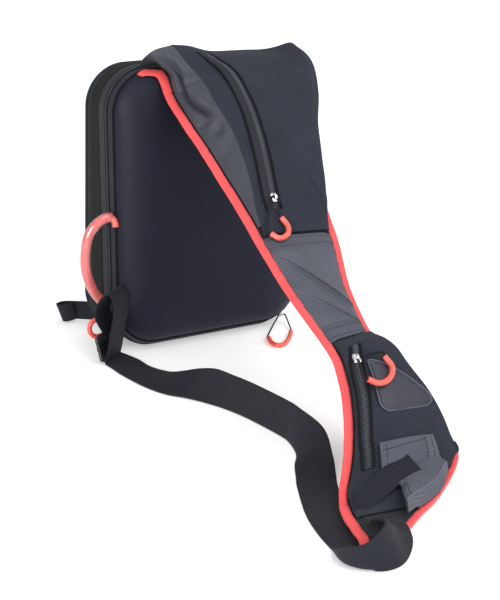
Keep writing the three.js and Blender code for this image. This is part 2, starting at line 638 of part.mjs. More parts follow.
function buildLowerPocket() {
  const [start, end] = [LOWER[0].s, LOWER.at(-1).s];
  add('lower_pocket', clothWall(start, end, 17, lowerTop, () => steps(0, 1, 9)), MATERIAL.blackCloth);
  buildZip('lower', LOWER_ZIP, lowerHeight, ZIP.lowerTape);
  const badge = (lift) => strapRows(BADGE[0].s, BADGE.at(-1).s, 8, (s) => steps(0, 1, 5).map((f) => {
    const over = mix(column(BADGE, 'left', s), column(BADGE, 'right', s), f);
    return strapPoint(s, over, lowerHeight(s, over) + lift);
  }));
  add('badge_patch', sheet(badge(GAP + BADGE_THICK), badge(GAP)), MATERIAL.badge);
  const pouch = (lift) => steps(0, 1, 8).map((down) => steps(0, 1, 8).map((f) => {
    const corner = (axis) => mix(
      mix(POUCH.topLeft[axis], POUCH.topRight[axis], f),
      mix(POUCH.bottomLeft[axis], POUCH.bottomRight[axis], f),
      down,
    );
    const [s, over] = [corner(0), corner(1)];
    return strapPoint(s, over, lowerHeight(s, over) + pouchRise(s, over) + lift);
  }));
  add('tool_pouch', sheet(pouch(POUCH.lift + POUCH.wall), pouch(POUCH.lift)), MATERIAL.greyCloth);
  buildPouchTab();
}

// The tab leaves the cloth beside the pouch's mouth and crosses over the pouch, level from side to side
function buildPouchTab() {
  const clothHigh = (s, over) => {
    const mouth = mix(POUCH.topLeft[1], POUCH.bottomLeft[1], (s - POUCH.topLeft[0])
      / (POUCH.bottomLeft[0] - POUCH.topLeft[0]));
    const onPouch = THREE.MathUtils.smoothstep(over, mouth - TAB.run, mouth);
    return lowerHeight(s, over) + (pouchRise(s, over) + POUCH.lift + POUCH.wall) * onPouch;
  };
  const rail = (lift) => steps(0, 1, 9).map((f) => {
    const places = [-1, 0, 1].map((side) => [0, 1].map((axis) => (
      mix(TAB.from[axis], TAB.to[axis], f) + side * TAB.across[axis]
    )));
    const high = Math.max(...places.map(([s, over]) => clothHigh(s, over)));
    return places.map(([s, over]) => strapPoint(s, over, high + lift));
  });
  add('pouch_tab', sheet(rail(TAB.lift + TAB.wall), rail(TAB.lift)), MATERIAL.webbing);
}

// Webbing
// Rows of a strap whose outer edge follows a table and which leans over that edge by an angle from the floor
function leaningRows(table, wide) {
  const last = table.length - 1;
  const edge = (s) => new THREE.Vector3(...['x', 'y', 'z'].map((axis) => column(table, axis, s)));
  const up = new THREE.Vector3(0, 0, 1);
  return table.map((row) => {
    const ahead = edge(Math.min(row.s + 0.05, last)).sub(edge(Math.max(row.s - 0.05, 0))).setZ(0).normalize();
    const lean = radians(row.lean);
    const level = up.clone().cross(ahead).applyAxisAngle(up, radians(row.skew ?? 0));
    const rise = level.multiplyScalar(Math.cos(lean)).addScaledVector(up, Math.sin(lean));
    return [0, 0.5, 1].map((f) => edge(row.s).addScaledVector(rise, f * wide).toArray());
  });
}

// A flat strap through rows of its outer edge, middle and inner edge
function flatStrap(rows, thick, count) {
  const last = rows.length - 1;
  const lines = [0, 1, 2].map((k) => rows.map((row, s) => ({ s, x: row[k][0], y: row[k][1], z: row[k][2] })));
  const at = (k, s) => new THREE.Vector3(...['x', 'y', 'z'].map((axis) => column(lines[k], axis, s)));
  const rail = (side) => steps(0, last, count).map((s) => {
    const ahead = at(1, Math.min(s + 0.05, last)).sub(at(1, Math.max(s - 0.05, 0)));
    const [outer, middle, inner] = [0, 1, 2].map((k) => at(k, s));
    const across = [middle.clone().sub(outer), inner.clone().sub(outer), inner.clone().sub(middle)];
    return [outer, middle, inner].map((point, k) => {
      const face = ahead.clone().cross(across[k]).normalize();
      return point.clone().addScaledVector(face, side * thick * 0.5);
    });
  });
  return sheet(rail(1), rail(-1));
}

function buildWebbing() {
  const slingRows = [...leaningRows(SLING, WEBBING.wide), ...SLING_CURL];
  add('sling_webbing', flatStrap(slingRows, WEBBING.thick, 62), MATERIAL.webbing);
  const tailRows = [...leaningRows(TAIL_ROUTE, TAIL.wide), ...TAIL_CURL];
  add('tail_webbing', flatStrap(tailRows, TAIL.thick, 26), MATERIAL.webbing);
  const across = vector(ADJUSTER.across).normalize();
  const ahead = new THREE.Vector3(across.y, -across.x, 0);
  const foot = new THREE.Vector3(LOOP_FOOT.x, LOOP_FOOT.y, 0).addScaledVector(across, LOOP_FOOT.side);
  const place = (s) => foot.clone().addScaledVector(ahead, column(LOOP, 'ahead', s))
    .addScaledVector(across, column(LOOP, 'side', s)).setZ(column(LOOP, 'up', s));
  const last = LOOP.length - 1;
  const rail = (side) => steps(0, last, 20).map((s) => {
    const along = place(Math.min(s + 0.05, last)).sub(place(Math.max(s - 0.05, 0))).normalize();
    const face = along.cross(across);
    return [-0.5, 0.5].map((f) => place(s)
      .addScaledVector(across, f * WEBBING.wide).addScaledVector(face, side * WEBBING.thick * 0.5));
  });
  add('anchor_tab', sheet(rail(1), rail(-1)), MATERIAL.webbing);
}

// The adjuster is a flat frame with two slots round a middle bar
function buildAdjuster() {
  const { wide, long, thick, slot, bar } = ADJUSTER;
  const box = (x, y, halfX, halfY) => [[-1, -1], [1, -1], [1, 1], [-1, 1]]
    .map(([i, j]) => new THREE.Vector2(x + i * halfX, y + j * halfY));
  const frame = new THREE.Shape(box(0, 0, wide / 2, long / 2));
  for (const side of [-1, 1]) {
    frame.holes.push(new THREE.Path(box(0, side * (bar + slot) / 2, wide / 2 - bar, slot / 2)));
  }
  const geometry = new THREE.ExtrudeGeometry(frame, { depth: thick, bevelEnabled: false });
  geometry.translate(0, 0, -thick / 2);
  const across = vector(ADJUSTER.across).normalize();
  const ahead = new THREE.Vector3(across.y, -across.x, 0);
  const slope = radians(ADJUSTER.slope);
  const down = ahead.multiplyScalar(Math.cos(slope)).setZ(-Math.sin(slope));
  const mesh = add('ladder_lock', geometry, MATERIAL.plastic);
  mesh.quaternion.setFromRotationMatrix(
    new THREE.Matrix4().makeBasis(across, down, across.clone().cross(down)),
  );
  mesh.position.set(...ADJUSTER.centre);
}

// Zip pulls
// A slider's side view, with the window that its pull goes through, carried across its width
function sliderGeometry() {
  const { long, wide, plate, high, window: [windowLong, windowHigh] } = SLIDER;
  const corner = ([x, y]) => new THREE.Vector2(x, y);
  const [foot, top] = [long / 2, long * 0.3];
  const side = new THREE.Shape([
    [-foot, 0], [foot, 0], [foot, plate], [top, high], [-top, high], [-foot, plate],
  ].map(corner));
  const [halfLong, floor] = [windowLong / 2, (plate + high - windowHigh) / 2];
  const ceiling = floor + windowHigh;
  const hole = new THREE.Path([
    [-halfLong, floor], [halfLong, floor], [halfLong, ceiling], [-halfLong, ceiling],
  ].map(corner));
  side.holes.push(hole);
  const geometry = new THREE.ExtrudeGeometry(side, { depth: wide, bevelEnabled: false });
  return geometry.translate(0, 0, -wide / 2);
}

function addPull(name, place, axes, cordTop, sleeve) {
  const slider = add(`slider_${name}`, sliderGeometry(), MATERIAL.chrome);
  slider.quaternion.setFromRotationMatrix(new THREE.Matrix4().makeBasis(...axes));
  slider.position.copy(place);
  add(`pull_sleeve_${name}`, tube(sleeve, SLEEVE_RADIUS, 8, 12), MATERIAL.sleeve);
  const end = (point, before, reach = GAP) => (
    point.clone().addScaledVector(point.clone().sub(before).normalize(), reach)
  );
  const [first, last] = [end(sleeve[0], sleeve[1]), end(sleeve.at(-1), sleeve.at(-2))];
  const lead = [end(first, sleeve[0], CORD_LEAD), end(last, sleeve.at(-1), CORD_LEAD)];
  const route = [first, lead[0], cordTop, lead[1], last];
  add(`pull_cord_${name}`, tube(route, CORD_RADIUS, 6, 12), MATERIAL.cord);
}

function buildPulls() {
  const heights = { yoke: yokeHeight, lower: lowerHeight };
  for (const { name, slider: [row, over], surface, cordTop, sleeve } of STRAP_PULLS) {
    const onCloth = ([s, side, high]) => strapPoint(s, side, heights[surface](s, side) + high);
    const onCoil = ZIP.lift + ZIP.tape + ZIP.coil + GAP * 3;
    const reach = 0.1;
    const ahead = onCloth([row + reach, over, onCoil]).sub(onCloth([row - reach, over, onCoil])).normalize();
    const across = strapFrame(row).across;
    const out = ahead.clone().cross(across).normalize();
    const place = onCloth([row, over, onCoil + GAP]);
    addPull(name, place, [ahead, out, ahead.clone().cross(out)], onCloth(cordTop), sleeve.map(onCloth));
  }
  const half = [BAG.width / 2 - BAG.corner, BAG.height / 2 - BAG.corner];
  const crown = SIDE.coil[1];
  const radii = [BAG.corner + crown.out, BAG.corner + crown.drop];
  for (const { name, slider, cordTop, sleeve } of MAIN_PULLS) {
    const turn = radians(slider.angle);
    const out = new THREE.Vector3(Math.cos(turn) / radii[0], 0, Math.sin(turn) / radii[1]).normalize();
    const place = new THREE.Vector3(
      slider.corner[0] * half[0] + radii[0] * Math.cos(turn),
      BAG.seamY + crown.back,
      BAG.seamLift + BAG.height / 2 + slider.corner[1] * half[1] + radii[1] * Math.sin(turn),
    ).addScaledVector(out, SLIDER.lift);
    const along = new THREE.Vector3(-out.z, 0, out.x);
    addPull(name, place, [along, out, along.clone().cross(out)], vector(cordTop), sleeve.map(vector));
  }
}

buildBag();
buildPad();
buildBindingStart();
buildYoke();
buildMidPanel();
buildLowerPocket();
buildWebbing();
buildAdjuster();
buildPulls();

export default group;
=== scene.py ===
"""A fishing sling bag: moulded panel, padded shoulder strap and webbing, dressed over its CAD frame."""

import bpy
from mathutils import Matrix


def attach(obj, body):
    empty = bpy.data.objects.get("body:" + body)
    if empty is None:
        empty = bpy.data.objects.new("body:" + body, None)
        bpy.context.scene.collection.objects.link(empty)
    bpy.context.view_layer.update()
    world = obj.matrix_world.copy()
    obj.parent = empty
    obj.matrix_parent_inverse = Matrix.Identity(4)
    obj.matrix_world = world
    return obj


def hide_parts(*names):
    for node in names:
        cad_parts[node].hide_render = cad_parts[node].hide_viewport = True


bl_info = {
    "name": "Sling Bag",
    "version": (1, 0, 0),
    "blender": (4, 5, 0),
    "location": "View3D > Sidebar > Sling Bag",
    "description": "Builds the cloth, zips, webbing and stage of a fishing sling bag over its CAD frame",
    "category": "Object",
}

import bmesh
import bpy
import numpy as np
from bpy.props import FloatProperty, FloatVectorProperty, PointerProperty
from mathutils import Matrix

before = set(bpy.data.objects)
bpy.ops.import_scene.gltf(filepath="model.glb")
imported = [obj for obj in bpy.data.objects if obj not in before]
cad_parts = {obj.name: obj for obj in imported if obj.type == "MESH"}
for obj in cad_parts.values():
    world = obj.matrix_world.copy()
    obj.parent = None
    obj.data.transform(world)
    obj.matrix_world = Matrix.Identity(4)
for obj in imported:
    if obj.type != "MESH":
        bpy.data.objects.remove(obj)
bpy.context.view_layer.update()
MM = 0.001
UP = np.array([0, 0, 1.0])

# The bag's seam outline and depth, in millimetres
WIDTH, HEIGHT, CORNER = 253.0, 330.0, 49.0
DEPTH_TOP, DEPTH_BOTTOM = 71.0, 96.0
SEAM_Y, SEAM_LIFT = -49.0, 11.0
MIDDLE = SEAM_LIFT + HEIGHT / 2
HALF = np.array([WIDTH / 2 - CORNER, HEIGHT / 2 - CORNER])

# Columns: distance behind the seam, distance out of the outline, drop at the base
FRONT_TAPE = np.array([[0.4, 0.8, 1.4], [6.5, 2.0, 5.6], [12.6, 3.0, 8.8]])
REAR_TAPE = np.array([[17.6, 3.0, 9.8], [33.0, 3.4, 10.9]])
COIL = np.array([15.1, 3.2, 9.4])
# The gusset, the rim that it runs in to over the last share of its depth, the piping and the rear panel
GUSSET_FRONT, GUSSET_OUT, GUSSET_DROP = 33.4, 3.4, 11.0
RIM_GAP, RIM_OUT, RIM_DROP, FLAT_SHARE = 3.2, -0.8, 3.0, 0.7
PIPING_OUT, PIPING_DROP, PIPING_RADIUS = -1.6, 2.0, 2.6
PANEL_EDGE = -2.9

# Columns: left edge x, y, z and right edge x, y, z of the strap, from the bag's top to the tip
STRAP = np.array([
    [-68, -51.9, 344, 106, -51.9, 344], [-76, -82, 317, 112, -85, 317], [-80, -127, 293, 98, -125, 293],
    [-80, -171, 268, 75, -167, 267], [-81, -213, 243, 51, -215, 238], [-82, -257, 217, 30, -257, 211],
    [-84, -309, 184, 12, -311, 178], [-86, -368, 150, -6, -359, 144], [-87, -437, 116, -15, -413, 110],
    [-92, -464, 102, -4, -445, 89], [-103, -494, 76.5, 6, -477, 60], [-122, -525, 45, 12, -506, 28.5],
    [-144, -550, 14.5, 11, -530, 8], [-160, -577, 9, -53, -585, 5.9], [-171, -607, 9, -96, -612, 5.9],
    [-178, -631, 9, -134, -638, 5.9],
], float)
ROWS = np.arange(len(STRAP), dtype=float)
TIP = ROWS[-1]
# Half the pad's thickness, the same at its edge, the edge's width, the slope's width beside it, and the
# height and inset at which the cloth panels start
PAD_HALF, PAD_THIN, PAD_THIN_WIDE, PAD_SLOPE = 3.5, 0.9, 9.6, 7.0
PANEL_BASE, PANEL_INSET = 3.6, 9.6
# The waves of the pad's quilted underside: depth, and rows from one to the next
QUILT_DEEP, QUILT_ROWS = 0.5, 0.55
# How far the binding stands off the pad, where its half round starts, its stitches' inset and its hidden ends
BINDING_OFF, BINDING_IN, BINDING_HEM, BINDING_LEAD = 1.5, 0.8, 1.6, 13.0
# Steps of the strap that the left binding leaves to the binding's start
BINDING_SKIP = 8
# Edge lines of the binding's start: angle round the corner, distance behind the seam and out of the outline,
# then strap row and distance across, and the height over the pad's thin edge
START_UPPER = (
    np.array([[102, -0.4, 2.2], [97, -0.4, 2.2]]),
    np.array([[0.16, 1.5], [0.27, 5], [0.44, 7.8], [0.72, 8.5], [1.0, 8.5]]), 2.0,
)
START_LOWER = (
    np.array([[112.5, -2.0, 0.6], [108.5, -8.0, -2.3], [102, -9.6, -3.2]]),
    np.array([[0.36, -6.2], [0.56, -3.4], [0.8, -2.0], [1.05, -1.7]]), 0.0,
)

# Columns: row, where the grey side meets the top, its height, its bulge, crown, shoulder, right side out,
# height at the right
YOKE = np.array([
    [0.0, 5, 42, 27, 22, 23, 12, 13], [0.5, 17, 41, 13, 33, 29, 9, 21], [1.4, 31, 37, 5, 39, 30, 5, 21],
    [2.3, 30, 34, 2, 38, 28, 1, 20], [3.1, 31, 29, 1, 33, 25, -3, 18], [3.9, 27, 24, 0.5, 28, 22, -2.6, 16.5],
    [4.6, 21, 18, 0, 21, 17, -1.4, 14], [5.25, 13, 10.5, 0, 13, 11, -5, 9],
    [5.7, 11, 5.6, 0, 7.4, 7, -9, 5.6],
])
# The shares of the top's width at which its crown, slope and shoulder lie
YOKE_SHARES = (0.3, 0.66, 0.9)
# How far the shoulder pocket's end runs back over the bag's top
YOKE_BACK = 13.0
# Last row of the grey side, and how far it stops short of the top
BELLOWS_END, BELLOWS_TUCK = 5.5, 0.6
# Columns: row, depth, slant, spread of a fold in the grey side
BELLOWS_FOLDS = np.array([
    [0.75, 4.2, 0.5, 0.22], [1.7, -2.4, 0.3, 0.25], [2.3, 3.4, -0.5, 0.3], [3.3, 1.6, 0.4, 0.3],
    [0.38, 2.4, -0.5, 0.1], [1.28, 3.0, 0.25, 0.09],
])
# Columns: row, distance across of a zip's teeth
YOKE_ZIP = np.array([
    [0.3, 45], [0.55, 54], [1.27, 68], [2.16, 67], [3.1, 60], [4.05, 49], [4.89, 39], [5.25, 36],
])
LOWER_ZIP = np.array([[8.45, 27], [9.1, 18.5], [9.93, 17.5], [10.95, 18.5], [11.6, 25]])
# First and last row of the middle panel, and how far it runs under the binding
MID_START, MID_END, MID_UNDER = 5.78, 7.97, 2.6
# Columns: row at the left, row at the right, rise, spread above and spread below the ridge
MID_FOLDS = np.array([
    [6.04, 7.46, 8.4, 0.36, 0.05], [6.84, 7.76, 5.8, 0.3, 0.06], [5.9, 6.7, 3.0, 0.16, 0.08],
])
# How many rows a fold leans over for each millimetre that it rises
FOLD_LEAN = 0.028
# Columns: row, height at the left, crown, right side out, height at the right
LOWER = np.array([
    [8.02, 5.8, 8, -5, 9], [8.4, 8, 13, -3, 14], [9.3, 9.5, 17, -6, 15.5], [10.5, 9.5, 18, -6, 16],
    [11.3, 9, 16, -8.6, 14], [11.8, 8.5, 14, -8, 12.6], [12.3, 8, 11.6, -9, 9.6], [13.1, 6.4, 8, -9, 7],
    [13.7, 6, 6.6, -9, 6.4],
])
# The chest pocket's left foot, the crown's share of its width, and its rounded right edge as inset and drop
LOWER_FOOT, LOWER_CROWN, LOWER_ROUND = 4, 0.45, (7, 3)
# Columns: row, left side, right side of the bare patch
BADGE = np.array([
    [9.12, 29.5, 35], [9.3, 29.8, 51], [9.6, 30.6, 73], [9.9, 31.6, 91], [10.16, 33, 104], [10.3, 36, 105],
    [10.42, 42, 97],
])
# The patch's stitches as inset and height, and its raised rim as inset, height and radius
PATCH_STITCH, PATCH_RIM = (3.6, 0.95), (0.6, 1.9, 0.8)
# The pouch's corners as strap row and distance across
POUCH = {
    "top_left": (11.1, 33), "top_right": (11.1, 104), "low_right": (12.45, 132), "low_left": (14.25, 57),
}
# How far the pouch's cloth, face, mouth, fold rod and stitches stand off, and the face's reach down and
# across; the fold rod is a pale painted highlight along the crease
POUCH_LIFT = {"cloth": 1.6, "face": 2.2, "mouth": 1.2, "fold": 2.6, "stitches": 2.3}
FACE_DOWN, FACE_ACROSS = 0.52, 0.84
# The strap over the pouch: its ends as strap row and distance across, and half its width at each end
TAB_FROM, TAB_TO = np.array([13.24, 3]), np.array([12.1, 86])
TAB_HALF = np.array([[0.42, 1], [0.3, 14]])
# First and last place along that strap of its box of stitches, and how high they lie over its middle
TAB_BOX, TAB_STITCH = (68, 87), 0.95
# That strap's thickness, how far each way its height is averaged, and its tilt and the slant of its end
TAB_THICK, TAB_MEAN, TAB_TILT, TAB_SLANT = 1.7, 20, 0.2, 0.7
# A strap row is about 30 mm long, which makes rows and distances across alike
ROW_LONG = np.array([30, 1])

# Columns: outer edge x, y, z, lean from the floor, skew of the end, for the webbing on the floor
SLING = np.array([
    [-159.6, -76.8, 1.8, 4, 37], [-159, -95.4, 1.5, 3, 14], [-159, -119.6, 1.4, 3, 0],
    [-154.9, -165, 1.4, 12, 0], [-145.9, -200.2, 1.3, 26, 0], [-131.8, -223.4, 1.2, 40, 0],
    [-119.7, -248.6, 1.1, 62, 0], [-109.6, -278.9, 1, 78, 0], [-103.5, -314.2, 1, 79, 0],
    [-99.5, -370.6, 1, 79, 0], [-101.5, -393.8, 1, 76, 0], [-112.6, -424.1, 1.2, 46, 0],
    [-128.7, -446.2, 1.3, 16, 0], [-142.8, -470.4, 1.2, 3, 0],
    [-155.9, -493.6, 1.2, 0, 0], [-181.2, -547.1, 1.2, 0, 0], [-194.3, -587.4, 1.2, 0, 0],
    [-201.3, -619.6, 1.2, 0, 0],
])
# Outer edge, middle and inner edge of the webbing where it curls over and turns back into the strap's tip
SLING_CURL = np.array([
    [[-211, -640, 12], [-203, -648, 1.6], [-172, -640, 1.3]],
    [[-212, -658, 22], [-205.5, -664, 5], [-186, -668, 1.2]],
    [[-206, -677, 31], [-199, -676, 15], [-191, -675, 1.2]],
    [[-192, -677, 37], [-187, -680, 19], [-182, -680.1, 1.2]],
    [[-174, -663, 37], [-170, -673, 19], [-167, -678.6, 1.2]],
    [[-163, -648, 33], [-156, -659, 17.5], [-150.5, -668, 1.6]],
    [[-161, -634, 27.5], [-147, -644, 18], [-134.8, -651.9, 6]],
    [[-163, -626, 23], [-146.5, -631, 20], [-129.7, -635.8, 13.6]],
    [[-161, -620, 18.4], [-146, -622, 16.8], [-131.8, -623.7, 14.6]],
    [[-160, -609.5, 16.6], [-147, -610.5, 15.8], [-133.8, -611.6, 14.8]],
])
# The strap end behind the bag: the same columns up to where it turns over on itself, and then its edges
TAIL = np.array([[-44, 51, 1.2, 90, 0], [-60, 51, 1.2, 90, 0], [-74, 57, 1.2, 88, 0], [-87, 74, 1.2, 86, 0]])
TAIL_CURL = np.array([
    [[-98, 88, 1.2], [-99, 89, 13.5], [-100, 90, 25.8]],
    [[-110, 99, 1.2], [-112, 100, 13.6], [-114, 101, 26]],
    [[-121, 108, 1.2], [-124.5, 109.5, 13.3], [-128, 111, 25.5]],
    [[-129.5, 108, 1.2], [-133.7, 108.5, 13], [-138, 109, 24.8]],
    [[-131.8, 101.5, 1.2], [-135.9, 101, 13.2], [-140, 100.5, 25.3]],
    [[-127.5, 96.5, 2], [-131, 95.5, 14], [-134.5, 94.5, 26]],
    [[-118, 96, 3.4], [-121, 95, 15.5], [-124, 94, 27.5]],
])
# Columns: ahead, up, side of the webbing loop, which comes down in front of the adjuster to the sling's end
LOOP = np.array([
    [-3, 36.5, 8.6], [-6.5, 47, 4], [-9, 59, 0], [-6.5, 72, 0], [2, 84.5, 0], [10, 88.5, 0], [15, 80.5, 0],
    [15.5, 62, 0], [12, 45, 0], [8.8, 29, 0], [6, 15, 0], [3.8, 5.8, 0],
])
LOOP_FOOT, LOOP_SIDE = np.array([-142.7, -59.9, 0]), -3.5
ADJUSTER_CENTRE, ADJUSTER_SLOPE = np.array([-147.9, -58.8, 18.8]), 76.0
ADJUSTER_ACROSS = np.array([0.79, 0.61, 0]) / np.hypot(0.79, 0.61)
ADJUSTER_AHEAD = np.array([ADJUSTER_ACROSS[1], -ADJUSTER_ACROSS[0], 0])
ADJUSTER_DOWN = (
    ADJUSTER_AHEAD * np.cos(np.radians(ADJUSTER_SLOPE)) - UP * np.sin(np.radians(ADJUSTER_SLOPE))
)
ADJUSTER_WIDE, ADJUSTER_LONG, ADJUSTER_CORNER = 46.0, 33.0, 3.0
ADJUSTER_INSET, ADJUSTER_BAR = (2, 2.4), 2.0
# Columns: distance down the adjuster and height over it of the webbing that is woven through its bars
WOVEN_END = np.array([
    [17, 2.2], [15, 3.2], [11.5, 2.4], [7.5, 0], [3.5, -2.4], [0, -3.1], [-3.5, -2.4], [-7.5, 0],
    [-11.5, 2.4], [-15, 3.2], [-18, 2.4],
])
# Points along the grip, and along the red plug at its upper end
HANDLE = np.array([
    [-130.6, -44.5, 170.5], [-139, -44, 170.5], [-151, -42, 162.5], [-160, -40, 148.8], [-163.5, -38, 124],
    [-161, -36, 102.5], [-153, -34, 82], [-143, -32, 68.5], [-137, -31.2, 64.4], [-131.8, -31, 63.8],
])
GRIP_PLUG = np.array([
    [-137, -44.1, 171], [-132.5, -44.8, 170.8], [-129.6, -47.5, 168.5], [-128.6, -50, 164],
    [-128.6, -50.6, 160],
])
GRIP_PLUG_RADIUS, GRIP_CORE_SHARE = 3.9, 0.62

# Zip pulls on the strap: slider row and distance across, and the sleeve as row, distance across and height
STRAP_PULLS = {
    "yoke": ((5.02, 38.2), [
        [5.48, 35, 5.0], [5.66, 38, 5.2], [5.82, 33, 5.0], [5.88, 22, 4.6], [5.76, 15, 4.4]]),
    "lower": ((9.0, 19.4), [
        [9.16, 50, 5.4], [9.48, 54, 5.8], [9.74, 45, 5.8], [9.8, 31, 7.4], [9.66, 19, 9.4]]),
}
# Zip pulls on the bag: corner, angle round it, and the sleeve's points
BAG_PULLS = {
    "main_right": ((1, -1), -52, [
        [56, -96, 3.4], [50, -112, 3.4], [48.6, -123, 3.4], [52.5, -128.4, 3.4], [61, -126, 3.4],
        [74.5, -113.5, 3.4], [87, -98.5, 3.4], [93, -90, 3.4]]),
    "main_left": ((-1, -1), 205, [
        [-150, -39, 47], [-159, -39, 42], [-161, -39, 33], [-156, -39, 25.5], [-148.5, -39, 24]]),
}
# How far a slider stands over the strap's cloth and out of the bag's zip
STRAP_SEAT, BAG_SEAT = 2.6, 5.5
# A slider's half length and half width, its layers as share of that and height, and its bridge as place and
# height with its section
SLIDER_HALF, SLIDER_SQUARE, BRIDGE_SHAPE = (6.0, 4.3), 0.6, (1.7, 0.7)
SLIDER_LAYERS = np.array([
    [0, -4], [0.8, -4], [0.9, -3.6], [0.9, 0.1], [0.98, 0.4], [1, 0.9], [0.94, 1.4], [0.8, 1.7], [0, 1.8],
])
SLIDER_BRIDGE = np.array([
    [-3.4, 1.2], [-3.2, 2.8], [-1.8, 4.2], [0, 4.5], [1.8, 4.2], [3.2, 2.8], [3.4, 1.2],
])
# How far a pull cord runs straight on past its sleeve, the height of the bridge's window, and the radius of
# the cord's turn in it
CORD_LEAD, CORD_WINDOW, CORD_BEND = 6.0, 2.9, 4.4

# The main zip's dark backing, stitches and rounded folds, with the columns of its tapes. The folds are in the
# darkest thread colour, painted shade for the grooves at the tapes' edges
ZIP_BACKING = np.array([[12.4, 2.2, 8.2], [15.1, 2.6, 8.8], [17.8, 2.4, 9.0]])
BAND_STITCHES = (
    (11.2, 2.85, 8.3), (2.6, 1.2, 2.9), (19.4, 3.1, 10.0), (31.4, 3.42, 10.95), (36.0, 3.42, 11.0),
)
ZIP_FOLDS_PAINTED_SHADE = {"front": (12.2, 3.1, 8.5), "rear": (18.0, 3.3, 9.9), "seam": (0.8, 1.0, 2.2)}
ZIP_FOLD_RADIUS = 0.9
# Width of the teeth of the main zip and of the pockets' zips
MAIN_TEETH, POCKET_TEETH = 5.2, 5.6
# How far a pocket zip's tape, teeth and lips stand over the cloth, a lip's section and its stitches' distance
TAPE_LIFT, TEETH_LIFT, LIP_LIFT, LIP_SHAPE, LIP_STITCH = 0.8, 1.3, 1.2, (1.3, 1.0), 3.2
# How far stitches are lifted off the cloth, and how low the binding may hang over the floor
STITCH_LIFT, FLOOR_GAP = 0.1, 1.0
# Small steps of rows, of rows and distance across, and of shares, from which directions are worked out
ROW_STEP, CLOTH_STEP, SHARE_STEP, PART_STEP = 0.05, (0.02, 0.6), 1e-3, 0.01
# Steps round the bag, along the strap, and along and across a pocket
RIM_STEPS, STRAP_STEPS, POCKET_STEPS = 480, 260, (190, 110)

# The camera's place and the floor in millimetres, and the lights and the depth of view in metres
CAMERA_AT = np.array([-904.6, -1653.9, 618.5])
CAMERA_YAW, CAMERA_PITCH, CAMERA_LENS = -0.54, 0.30, 93.0
SENSOR_WIDE, VIEW_FAR = 36.0, 100.0
LIT_PLACE, KEY_FROM = np.array([-0.03, -0.25, 0.14]), np.array([0.20, -0.60, 0.76])
SIDE_AT, SIDE_WIDE = (-1.5, -1.6, 0.5), 0.42
CARD_AT, CARD_WIDE = (-1.7, -1.2, 0.7), 1.0
FLOOR_REACH, FLOOR_HIGH = 40000.0, -0.1


def colour(label, value):
    """A colour that a user can change."""
    return FloatVectorProperty(
        name=label, description=f"{label}, linear", subtype="COLOR", size=3, min=0, max=1, default=value
    )


def length(label, value):
    """A length that a user can change, in millimetres."""
    return FloatProperty(name=label, description=f"{label}, in millimetres", default=value, min=0.01)


def amount(label, told, value, **kind):
    """A strength, power or angle that a user can change."""
    return FloatProperty(name=label, description=told, default=value, min=0, **kind)


class BagColours(bpy.types.PropertyGroup):
    """Colours of the bag's finishes"""

    shell: colour("Moulded shell", (0.0078, 0.0088, 0.0200))
    black: colour("Black cloth", (0.0185, 0.0220, 0.0340))
    grey: colour("Grey ripstop", (0.077, 0.083, 0.108))
    gusset: colour("Gusset cloth", (0.0042, 0.0062, 0.0068))
    webbing: colour("Webbing", (0.0122, 0.0135, 0.0210))
    tape: colour("Zip tape", (0.0165, 0.0185, 0.0260))
    coil: colour("Zip teeth", (0.062, 0.067, 0.084))
    binding: colour("Red binding", (0.93, 0.095, 0.098))
    sleeve: colour("Pull sleeves", (0.92, 0.125, 0.095))
    tube: colour("Grip core", (0.90, 0.14, 0.13))
    badge: colour("Bare patch", (0.026, 0.028, 0.042))
    thread: colour("Dark thread", (0.006, 0.0065, 0.009))
    navy: colour("Navy thread", (0.035, 0.039, 0.055))
    wall: colour("Grip wall", (0.97, 0.41, 0.40))
    plastic: colour("Adjuster", (0.014, 0.015, 0.017))
    plating: colour("Zip plating", (0.74, 0.75, 0.78))


class BagSizes(bpy.types.PropertyGroup):
    """Sizes of the bag's fine details"""

    shell_rise: length("Shell rise", 28.0)
    panel_rise: length("Rear panel rise", 8.0)
    cloth: length("Cloth thickness", 1.4)
    binding_wide: length("Binding width", 8.0)
    stitch_pitch: length("Stitch pitch", 3.4)
    stitch_long: length("Stitch length", 2.5)
    tooth_pitch: length("Zip tooth pitch", 2.5)
    grip_radius: length("Grip radius", 6.0)
    sleeve_radius: length("Sleeve radius", 3.0)
    cord_radius: length("Pull cord radius", 1.0)
    webbing_wide: length("Webbing width", 40.0)
    webbing_thick: length("Webbing thickness", 1.8)
    tail_wide: length("Tail width", 25.0)


class StageSettings(bpy.types.PropertyGroup):
    """Light and floor of the stage"""

    key: amount("Key light", "Strength of the broad light from the right", 2.0)
    spread: amount("Key spread", "Width of the key light", 1.2, subtype="ANGLE")
    side: amount("Side light", "Power of the left softbox", 9.0, unit="POWER")
    card: amount("Gloss card", "Power of the card that glossy parts show", 46.0, unit="POWER")
    sky: amount("Sky", "Strength of the white surroundings", 0.62)
    glow: amount("Floor glow", "Light that comes through the floor", 0.34)
    floor: colour("Floor", (0.96, 0.96, 0.96))


def colours():
    """The scene's colours for the bag."""
    return bpy.context.scene.bag_colours


def sizes():
    """The scene's sizes for the bag, in millimetres."""
    return bpy.context.scene.bag_sizes


# Curves and frames

def unit(v):
    """Each vector divided by its length."""
    return v / np.maximum(np.linalg.norm(v, axis=-1, keepdims=True), 1e-12)


